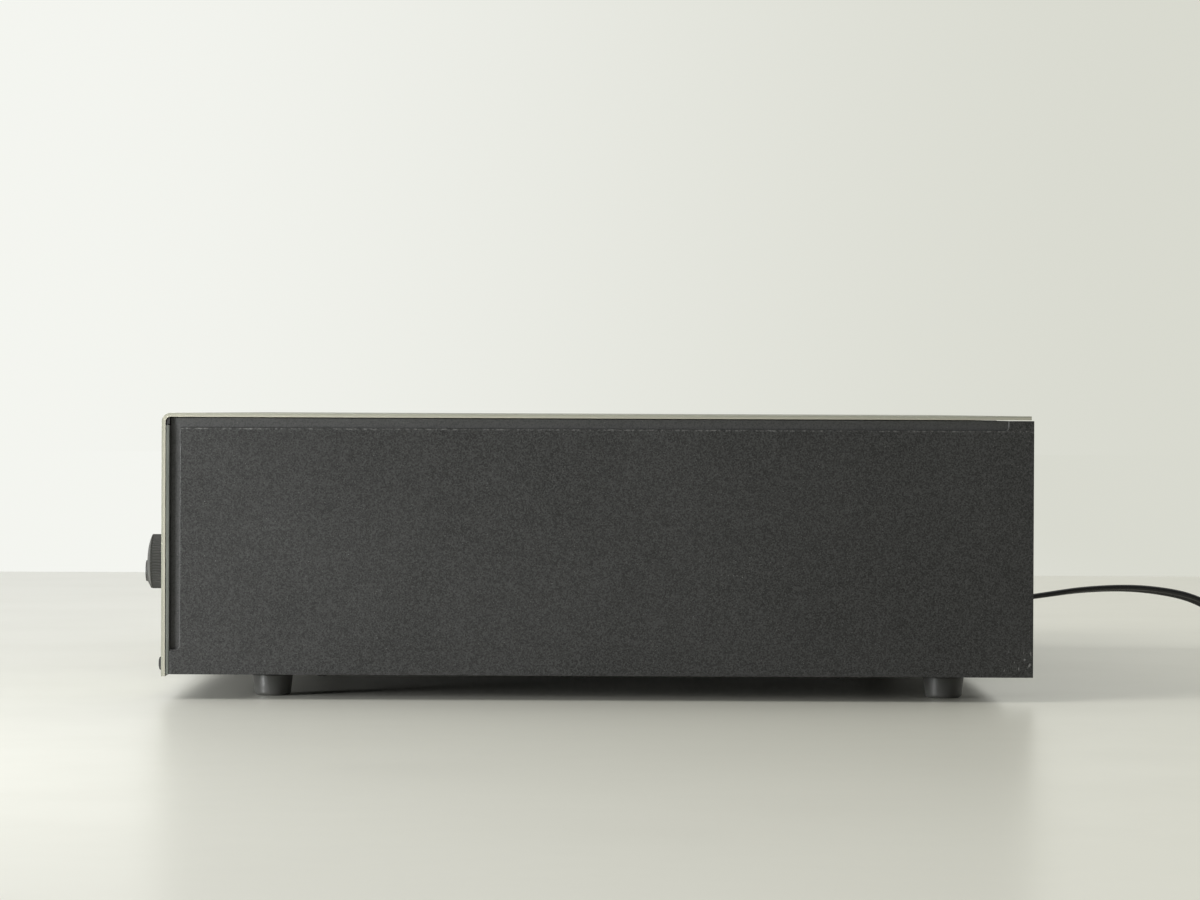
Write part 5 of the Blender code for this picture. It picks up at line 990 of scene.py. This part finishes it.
# The motor: a drawn steel can, zinc plated, held to the plate's posts by two screws beside its shaft.
# The plating's crystals differ in gloss, and handling has dulled it in clouds.
MOTOR_FACE_Y = -0.1294
zinc = Coat("zinc_plate", {"Metallic": 1.0})
spangle = zinc.add("ShaderNodeTexVoronoi", {}, {"Vector": zinc.place, "Scale": 160}, "Color")
leaf = zinc.part(spangle, 0)
tarnish = zinc.noise(18, 4, 0.6).rise(0.4, 0.75)
zinc.tint(tarnish, (0.47, 0.465, 0.44), (0.40, 0.385, 0.34))
zinc.feed("Roughness", 0.30 + 0.10 * leaf + 0.12 * tarnish)
zinc.pit(700, 3, 0.00004, 0.3)
motor = middle_of("drive_motor", MOTOR_FACE_Y)
motor_line = [(0.0010, 0.0080), (0.0010, 0.0008), (0.0045, 0.0008), (0.0045, 0), (0.0160, 0)]
motor_line += [(0.0160, -0.0215), (0.0155, -0.0220), (0.0155, -0.0260), (0.0012, -0.0260)]
motor_line = np.vstack([[(0, 0.0080)], eased_corners(motor_line, 0.0009), [(0, -0.0260)]])
motor_can = surface("motor_can", [spun(motor_line, motor, "front", 96)], zinc, "chassis")
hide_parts("drive_motor")
motor_screws = [(motor[0], motor[1], motor[2] + up * 0.0085) for up in (-1, 1)]
surface("motor_screws", cross_heads(motor_screws, "front", 0.0014), nickel, "chassis", (False, True), 28)

# The head bridge: a folded steel slide on two studs that lifts the record and play head and the erase
# head into the cassette. Each head is a polished shield with its cores let into the crown.
eased("head_bridge", bright_steel, 0.00015)
head_metal = Coat("polished_shield", {"Metallic": 1.0})
x, y, z = (head_metal.part(head_metal.place, k) for k in range(3))
from_gap = abs(x + 0.1380)
on_crown = z > 0.0300
core_face = (from_gap < 0.0016) * (abs(abs(y + 0.14985) - 0.0018) < 0.0011) * on_crown
gap_line = (from_gap < 0.00012) * on_crown
tone = head_metal.mixed(core_face, (0.66, 0.65, 0.62), (0.30, 0.28, 0.25))
head_metal.tint(gap_line, tone, (0.03, 0.03, 0.03))
head_metal.roughen(0.14, 0.12, 350, 4)
for node in ("record_play_head", "erase_head"):
    eased(node, head_metal, 0.00025)

# The pinch arm and its roller: a flat steel lever with a pin, and a moulded rubber tyre on a brass
# bush that turns on the pin.
eased("pinch_arm", passivated, 0.00012)
roller = middle_of("pinch_roller")
tyre_line = eased_corners([(0.0026, 0.0037), (0.0028, 0.0040), (0.0065, 0.0040), (0.0065, 0)], 0.0005)
tyre_line = np.vstack([tyre_line, tyre_line[::-1][1:] * (1, -1)])
tyre_grid = spun(tyre_line, roller, "front", 72)
tyre = surface("roller_tyre", [tyre_grid], belt_rubber, "pinch_roller_body", (True, True))
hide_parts("pinch_roller")
bush_line = [(0.0012, 0.0039), (0.0025, 0.0039), (0.0027, 0.0037)]
bush_line += [(radius, -height) for radius, height in reversed(bush_line)]
surface("roller_bush", [spun(bush_line, roller, "front", 40)], brass, "pinch_roller_body", (True, True))


# The six piano keys: ABS bars with rounded noses and a dished face for the finger. The record key is
# red. They slide in a black frame, and their plain symbols are printed on the cover above them.
cover_ink = plain_coat("dark_grey_ink", (0.045, 0.045, 0.043), (0.55, 0.2, 900, 2))
record_red = plain_coat("record_red", (0.40, 0.020, 0.016), (0.34, 0.2, 320, 4), (2600, 2, 0.00003, 0.5))
eased("key_frame", black_abs, 0.0003)


def piano_key(node, coat):
    """The face goes in by a dish that is deepest in the middle: one less z squared, times one less x^6."""
    low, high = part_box(node)
    half = np.array([high.x - low.x, high.y - low.y, high.z - low.z]) / 2
    centre = np.array([high.x + low.x, high.y + low.y, high.z + low.z]) / 2
    loop = rounded_box(half[1], half[2], 0.0016, 8)
    loop = spread_evenly(np.vstack([loop, loop[:1]]), 0.0004)[:-1]
    turn = np.radians(np.linspace(0, 90, 5))
    inset = np.concatenate([[1], 0.0004 * (1 - np.sin(turn))])
    place = np.concatenate([[1], 1 - 0.0004 / half[0] * (1 - np.cos(turn))])
    inset = np.concatenate([inset, np.zeros(9), inset[::-1]])
    across = np.concatenate([-place, np.linspace(-0.9, 0.9, 9), place[::-1]])
    shrink = np.maximum(1 - inset[:, None] / half[1:], 0)
    y = loop[:, 0] * shrink[:, :1]
    z = loop[:, 1] * shrink[:, 1:]
    near_face = np.clip((-y / half[1] - 0.75) / 0.25, 0, 1)
    dish = 0.0010 * near_face * (1 - (z / half[2]) ** 2) * (1 - across[:, None] ** 6)
    grid = np.stack([across[:, None] * half[0] + 0 * y, y + dish, z], axis=2) + centre
    body = frame["nodes"][node]["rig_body"]
    key = surface("dished_" + node, [grid], coat, body, smooth=45)
    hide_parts(node)
    return centre[0]


arrow = [(-0.0010, -0.0013), (0.0012, 0), (-0.0010, 0.0013)]
arrow_left = [(-u, v) for u, v in reversed(arrow)]
dot_turn = np.linspace(0, math.tau, 40, endpoint=False)
symbols = {
    "record_key": [[(0.0013 * math.cos(a), 0.0013 * math.sin(a)) for a in dot_turn]],
    "rewind_key": [[(u - 0.0012, v) for u, v in arrow_left], [(u + 0.0012, v) for u, v in arrow_left]],
    "fast_forward_key": [[(u - 0.0012, v) for u, v in arrow], [(u + 0.0012, v) for u, v in arrow]],
    "play_key": [arrow],
    "stop_key": [bar(0, 0, 0.0023, 0.0023)],
    "pause_key": [bar(-0.0007, 0, 0.0007, 0.0024), bar(0.0007, 0, 0.0007, 0.0024)],
}
key_signs = []
for node, outlines in symbols.items():
    key_x = piano_key(node, record_red if node == "record_key" else knob_plastic)
    key_signs.append((drawn(outlines), key_x, 0.0305))
stamped("key_symbols", key_signs, cover_low.y + 0.00001, cover_ink, "chassis")

# The counter: three white acetal wheels on one shaft, with figures printed round them, in a black
# housing behind the front. The grey button beside it sets them back.
eased("counter_housing", black_abs, 0.0002)
DIGIT_RADIUS = 0.0065
wheel_line = [(0.0018, 0.0020), (0.0056, 0.0020), (0.0058, 0.0025), (0.0063, 0.0025), (DIGIT_RADIUS, 0.0023)]
wheel_line += [(DIGIT_RADIUS, 0), *((radius, -height) for radius, height in reversed(wheel_line))]
for wheel_name in ("hundreds", "tens", "units"):
    node = "counter_wheel_" + wheel_name
    hub = middle_of(node)
    body = f"counter_{wheel_name}_body"
    grid = spun(wheel_line, hub, "right", 90)
    piece = surface(wheel_name + "_wheel", [grid], acetal, body, (True, True))
    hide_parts(node)
    bm = bmesh.new()
    for digit in range(10):
        along = Matrix.Translation((0, digit * DIGIT_RADIUS * math.tau / 10, 0))
        add_film(bm, figure(str(digit), 0.0046, 0.00004), along)
    bmesh.ops.remove_doubles(bm, verts=bm.verts, dist=1e-7)
    for height in np.arange(-0.0030, 0.0400, 0.0004):
        everything = [*bm.verts, *bm.edges, *bm.faces]
        bmesh.ops.bisect_plane(bm, geom=everything, plane_co=(0, height, 0), plane_no=(0, 1, 0))
    mesh = bpy.data.meshes.new(wheel_name + "_figures")
    bm.to_mesh(mesh)
    bm.free()
    flat = np.zeros(len(mesh.vertices) * 3, np.float32)
    mesh.vertices.foreach_get("co", flat)
    u, v, w = flat.reshape(-1, 3).T
    radius = DIGIT_RADIUS + w
    turn = v / DIGIT_RADIUS
    bent = np.stack([hub[0] + u, hub[1] - radius * np.cos(turn), hub[2] + radius * np.sin(turn)], axis=1)
    mesh.vertices.foreach_set("co", bent.astype(np.float32).ravel())
    mesh.update()
    mesh.materials.clear()
    mesh.materials.append(cover_ink.material)
    figures = bpy.data.objects.new(wheel_name + "_figures", mesh)
    scene.collection.objects.link(figures)
    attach(figures, body)

reset_line = [(0.0006, 0.0017), (0.0018, 0.0020), (0.0025, 0.0020), (0.0025, -0.0090), (0.0006, -0.0090)]
reset_line = np.vstack([[(0, 0.0016)], eased_corners(reset_line, 0.0004), [(0, -0.0090)]])
reset_grid = spun(reset_line, middle_of("counter_reset_button", cover_low.y), "front", 48)
reset = surface("reset_button", [reset_grid], knob_plastic, "counter_reset_body")
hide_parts("counter_reset_button")

# The small push buttons for noise reduction and tape type, and the near-black domed power button low
# at the right, all ABS. A plain mark stands over each.
for node in ("noise_reduction_button", "tape_type_button"):
    button(node, 0.0010, 0.0007, 0.0003, knob_plastic)
power_plastic = Coat(
    "power_button_plastic", {"Base Color": (0.006, 0.006, 0.006, 1), "Specular IOR Level": 0.3}
)
power_plastic.roughen(0.52, 0.16, 300, 3)
power_plastic.pit(2200, 2, 0.00002, 0.4)
button("power_button", 0.0009, 0.0008, 0.0004, power_plastic)
power_x = middle_of("power_button")[0]
ring_sweep = np.radians(np.linspace(130, 410, 25))
ring = [(0.0013 * math.cos(a), 0.0013 * math.sin(a)) for a in ring_sweep]
ring += [(0.0009 * math.cos(a), 0.0009 * math.sin(a)) for a in ring_sweep[::-1]]
button_marks = [(drawn([ring, bar(0, 0.0010, 0.0004, 0.0014)]), power_x, 0.0200)]
for node in ("noise_reduction_button", "tape_type_button"):
    low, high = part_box(node)
    button_marks.append((drawn([bar(0, 0, 0.0060, 0.0004)]), (low.x + high.x) / 2, high.z + 0.0022))
stamped("button_marks", button_marks, cover_low.y + 0.00001, cover_ink, "chassis")

# The level meters: two rows of bar segments on a black board behind a smoked pane, pale for the usual
# range and red above it, with a plain scale of numbers between them.
eased("level_meter_window", smoked, 0.0002)
meter_low, meter_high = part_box("level_meter_window")
meter_x = (meter_low.x + meter_high.x) / 2
meter_z = (meter_low.z + meter_high.z) / 2
meter_half = ((meter_high.x - meter_low.x) / 2 - 0.0012, (meter_high.z - meter_low.z) / 2 - 0.0010)
METER_BOARD_Y = -0.1576
SEGMENT_Y = -0.15763
board_steps = [(0.02, 0), (0, 0), (0, -0.0012), (0.02, -0.0012)]
meter_board = pillow((meter_x, METER_BOARD_Y, meter_z), meter_half, 0.0010, board_steps, "front")
meter_film = plain_coat("meter_board_film", (0.012, 0.012, 0.012), (0.45, 0.12, 180, 4))
surface("meter_board", [meter_board], meter_film, "chassis")
segment_film = plain_coat("segment_film", (0.30, 0.38, 0.34), (0.3, 0.2, 600, 2))
red_film = plain_coat("red_segment_film", (0.42, 0.045, 0.030), (0.3, 0.2, 600, 2))
scale_text = ["20", "15", "10", "7", "5", "3", "1", "0", "1", "3", "5", "7"]
segment_x = [meter_x - 0.0605 + 0.0110 * i for i in range(len(scale_text))]
rows_z = (meter_z - 0.0062, meter_z + 0.0062)
meter_parts = (("level_segments", segment_film, segment_x[:7]), ("peak_segments", red_film, segment_x[7:]))
for name, coat, chosen in meter_parts:
    halves = [(x + half * 0.0026, z) for x in chosen for z in rows_z for half in (-1, 1)]
    segments = [(drawn([bar(0, 0, 0.0046, 0.0030)]), x, z) for x, z in halves]
    stamped(name, segments, SEGMENT_Y, coat, "chassis")
numbers = [(figure(text, 0.0034), x, meter_z) for text, x in zip(scale_text, segment_x)]
tick = [bar(0, 0, 0.0005, 0.0012)]
numbers += [(drawn(tick), x, meter_z + up * 0.0031) for x in segment_x for up in (-1, 1)]
stamped("meter_numbers", numbers, SEGMENT_Y, white_ink, "chassis")

# The level knobs: dark mouldings with fine ribs. The large one has a low dome, the small one steps in
# to a flat cap with a pip. White pointers and printed scales show the setting.
def ribs(count, depth, inside, low, high):
    """Rounded valleys between ribs, that many round the knob, where the wall is and fading at its ends."""

    def factor(angle, radius, height):
        valley = np.sqrt(0.5 - 0.5 * np.cos(count * angle))
        ends = np.clip((height - low) / 0.0004, 0, 1) * np.clip((high - height) / 0.0004, 0, 1)
        return 1 - depth / np.maximum(radius, 0.001) * valley * ends * (radius > inside)

    return factor


big_knob = middle_of("record_level_knob", cover_low.y)
BIG_RADIUS = 0.01055
share = np.concatenate([np.linspace(0, 0.9, 14), np.linspace(0.925, 0.99, 5)])
dome_line = np.stack([BIG_RADIUS * share, 0.0057 + 0.0021 * (1 - share**2) ** 0.75], axis=1)
wall_line = [(0.0105, 0.00585), *((BIG_RADIUS, height) for height in (0.0056, 0.0050, 0.0012, 0.0005))]
wall_line = eased_corners([*wall_line, (0.0098, 0.0005)], 0.00015)
big_line = np.vstack([dome_line, wall_line, [(0.0033, 0.0005), (0.0033, 0.0047), (0, 0.0047)]])
big_grid = spun(big_line, big_knob, "front", 60 * 9, ribs(60, 0.00036, 0.0104, 0.0006, 0.0058))
big_piece = surface("large_ribbed_knob", [big_grid], knob_plastic, "record_level_body", smooth=50)
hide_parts("record_level_knob")

small_knob = middle_of("output_level_knob", cover_low.y)
SMALL_RADIUS = 0.0069
small_line = [(0.0006, 0.0117), (0.0042, 0.0117), (0.0042, 0.0111)]
small_line += [(SMALL_RADIUS, height) for height in (0.0097, 0.0090, 0.0014, 0.0005)] + [(0.0033, 0.0005)]
small_line = np.vstack([[(0, 0.0120)], eased_corners(small_line, 0.0002), [(0.0033, 0.0057), (0, 0.0057)]])
small_grid = spun(small_line, small_knob, "front", 36 * 10, ribs(36, 0.00034, 0.0068, 0.0008, 0.0096))
small_piece = surface("small_stepped_knob", [small_grid], knob_plastic, "output_level_body", smooth=50)
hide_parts("output_level_knob")


def pointer(name, middle, run, body):
    """A raised white line from the centre outwards, as radius and height, at the lowest setting."""
    way = np.array([math.sin(math.radians(-150)), math.cos(math.radians(-150))])
    side = np.array([way[1], -way[0]])
    run = np.array(run)
    ends = np.array([0.02] + [1] * (len(run) - 2) + [0.02])
    loop = rounded_box(0.00035, 0.00012, 0.0001, 3)
    plane = way * run[:, :1]
    grid = plane[:, None] + side * loop[None, :, :1] * ends[:, None, None]
    height = run[:, 1:] + loop[:, 1] * ends[:, None]
    points = np.stack([middle[0] + grid[..., 0], middle[1] - height, middle[2] + grid[..., 1]], axis=2)
    surface(name, [points], white_ink, body)


across = np.linspace(0.0052, 0.0100, 12)
on_dome = [(r, 0.0057 + 0.0021 * (1 - (r / BIG_RADIUS) ** 2) ** 0.75) for r in across]
pointer("large_knob_pointer", big_knob, [on_dome[0], *on_dome, on_dome[-1]], "record_level_body")
slant = [(0.0045, 0.01094), (0.0066, 0.00986)]
pointer("small_knob_pointer", small_knob, [slant[0], *slant, slant[-1]], "output_level_body")

dial = []
for (x, y, z), radius, size in ((big_knob, BIG_RADIUS, 0.0023), (small_knob, SMALL_RADIUS, 0.0019)):
    for mark in range(11):
        lean = math.radians(-150 + 30 * mark)
        way = np.array([math.sin(lean), math.cos(lean)])
        side = np.array([way[1], -way[0]])
        inner = way * (radius + 0.0010)
        outer = way * (radius + (0.0024 if mark % 5 == 0 else 0.0018))
        edge = side * 0.00015
        outline = [inner - edge, inner + edge, outer + edge, outer - edge]
        dial.append((drawn([[tuple(p) for p in outline]]), x, z))
        if mark % 5 == 0 or radius > 0.01:
            at = way * (radius + 0.0043)
            dial.append((figure(str(mark), size), x + at[0], z + at[1]))
stamped("dial_scales", dial, cover_low.y + 0.00001, cover_ink, "chassis")

# The headphone socket: a black body behind the front with a plated, knurled ring nut on its bush.
eased("headphone_jack", black_abs, 0.0002)
jack = middle_of("headphone_jack", cover_low.y)
nut_line = [(0.0047, 0.0000), (0.0047, 0.0010), (0.0051, 0.0013), (0.0064, 0.0013), (0.0064, 0.0000)]
nut_line = eased_corners(nut_line, 0.0002)
nut_grid = spun(nut_line, jack, "front", 48 * 6, ribs(48, 0.00025, 0.0063, -0.001, 0.0012))
surface("jack_nut", [nut_grid], nickel, "chassis", (True, True))

# The two level controls: plated cans with steel shafts on one small board behind the knobs.
control_metal = Coat("control_cans_and_board", {})
y = control_metal.part(control_metal.place, 1)
on_board = y.rise(-0.14705, -0.14695)
cloud = control_metal.noise(60, 4).rise(0.3, 0.7)
can = control_metal.mixed(cloud, (0.52, 0.51, 0.48), (0.44, 0.43, 0.40))
phenolic = control_metal.mixed(cloud, (0.24, 0.125, 0.052), (0.20, 0.10, 0.040))
control_metal.tint(on_board, can, phenolic)
control_metal.feed("Metallic", 1 - on_board)
control_metal.feed("Roughness", 0.32 + 0.2 * on_board + 0.1 * control_metal.noise(500, 3))
eased("level_controls", control_metal, 0.0002)

# The main board: brown phenolic paper on four spacers, with rows of resistors, small capacitors and a
# few chips soldered in. The two large capacitors smooth the supply.
board_coat = Coat("phenolic_board", {})
tracks = board_coat.add(
    "ShaderNodeTexVoronoi", {"distance": "CHEBYCHEV"}, {"Vector": board_coat.place, "Scale": 170}, "Distance"
)
mottle = board_coat.noise(120, 5, 0.6).rise(0.3, 0.7)
mottled = board_coat.mixed(mottle, (0.245, 0.130, 0.055), (0.200, 0.100, 0.042))
board_coat.tint(tracks.rise(0.52, 0.56) * 0.5, mottled, (0.13, 0.060, 0.026))
board_coat.roughen(0.42, 0.2, 300, 3)
board_coat.bump(tracks.rise(0.5, 0.56), 0.00003, 0.6)
eased("main_board", board_coat, 0.0002)
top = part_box("main_board")[1].z
spread = np.random.default_rng(7)
cells = np.array([(x, y) for x in np.arange(-0.030, 0.130, 0.016) for y in np.arange(-0.105, 0.020, 0.012)])
cells = cells + spread.uniform(-0.002, 0.002, cells.shape)
kind = spread.permutation(len(cells)) % 5
resistor = [(0.00028, 0.0052), (0.00028, 0.0033), (0.0011, 0.0033), (0.00125, 0.0024), (0.0010, 0.0018)]
resistor = eased_corners([*resistor, (0.0010, 0)], 0.0003)
resistor = np.vstack([[(0, 0.0052)], resistor, resistor[::-1][1:] * (1, -1), [(0, -0.0052)]])
resistor_lacquer = Coat("resistor_lacquer", {})
stripes = resistor_lacquer.noise(210, 1, 0.5, (4, 0.1, 0.1)).rise(0.52, 0.56)
resistor_lacquer.tint(stripes, (0.55, 0.42, 0.26), (0.30, 0.07, 0.04))
resistor_lacquer.roughen(0.35, 0.15, 400, 2)
grids = [spun(resistor, (x, y, top + 0.0014), "right", 16) for x, y in cells[kind < 3]]
surface("board_resistors", grids, resistor_lacquer, "chassis")
can_line = [(0.0010, 0.0092), (0.0031, 0.0095), (0.0031, 0.0084), (0.0029, 0.0080), (0.0031, 0.0076)]
can_line = eased_corners([*can_line, (0.0031, 0)], 0.0003)
can_line = np.vstack([[(0, 0.0092)], can_line, [(0, 0)]])
sleeve_film = Coat("capacitor_sleeve", {})
tint = sleeve_film.noise(14, 1).rise(0.45, 0.55)
sleeve_film.tint(tint, (0.015, 0.030, 0.075), (0.020, 0.020, 0.020))
sleeve_film.roughen(0.28, 0.14, 400, 2)
grids = [spun(can_line, (x, y, top), "up", 32) for x, y in cells[kind == 3]]
surface("board_capacitors", grids, sleeve_film, "chassis")
chip_steps = [(0.0035, 0.0), (0.0, 0.0), (0.0, 0.0018), (0.0002, 0.0034), (0.0035, 0.0034)]
chip_grids = [pillow((x, y, top), (0.0048, 0.0033), 0.0002, chip_steps, "up") for x, y in cells[kind == 4]]
surface("board_chips", chip_grids, black_abs, "chassis")

large_line = [(0.0020, 0.0293), (0.0074, 0.0293), (0.0078, 0.0300), (0.0090, 0.0298), (0.0090, 0.0262)]
large_line = eased_corners([*large_line, (0.0087, 0.0256), (0.0090, 0.0250), (0.0090, 0)], 0.0004)
large_line = np.vstack([[(0, 0.0293)], large_line, [(0, 0)]])
for node in ("smoothing_capacitor_left", "smoothing_capacitor_right"):
    low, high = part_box(node)
    foot_middle = ((low.x + high.x) / 2, (low.y + high.y) / 2, low.z)
    piece = surface("sleeved_" + node, [spun(large_line, foot_middle, "up", 72)], sleeve_film, "chassis")
    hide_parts(node)

# The transformer: a stack of thin iron plates, varnished, round a winding wrapped in yellow tape.
varnished = Coat("varnished_laminations", {"Metallic": 0.6})
layer = (varnished.part(varnished.place, 1) * 9000).math("SINE", varnished.part(varnished.place, 1) * 9000)
rust = varnished.noise(90, 5, 0.65).rise(0.5, 0.75)
varnished.tint(rust, (0.15, 0.14, 0.13), (0.20, 0.11, 0.06))
varnished.feed("Roughness", 0.42 + 0.1 * layer + 0.15 * rust)
varnished.bump(layer, 0.00008, 0.5)
eased("transformer_core", varnished, 0.0003)
yellow_tape = Coat("yellow_tape", {"Specular IOR Level": 0.4})
z = yellow_tape.part(yellow_tape.place, 2)
wrap = (z * 1100).math("SINE", z * 1100).rise(-1, 1)
yellow_tape.tint(wrap, (0.56, 0.40, 0.09), (0.64, 0.48, 0.14))
yellow_tape.feed("Roughness", 0.34 + 0.14 * wrap + 0.1 * yellow_tape.noise(200, 3))
yellow_tape.bump(wrap, 0.0001, 0.5)
eased("transformer_coil", yellow_tape, 0.0015, 3)
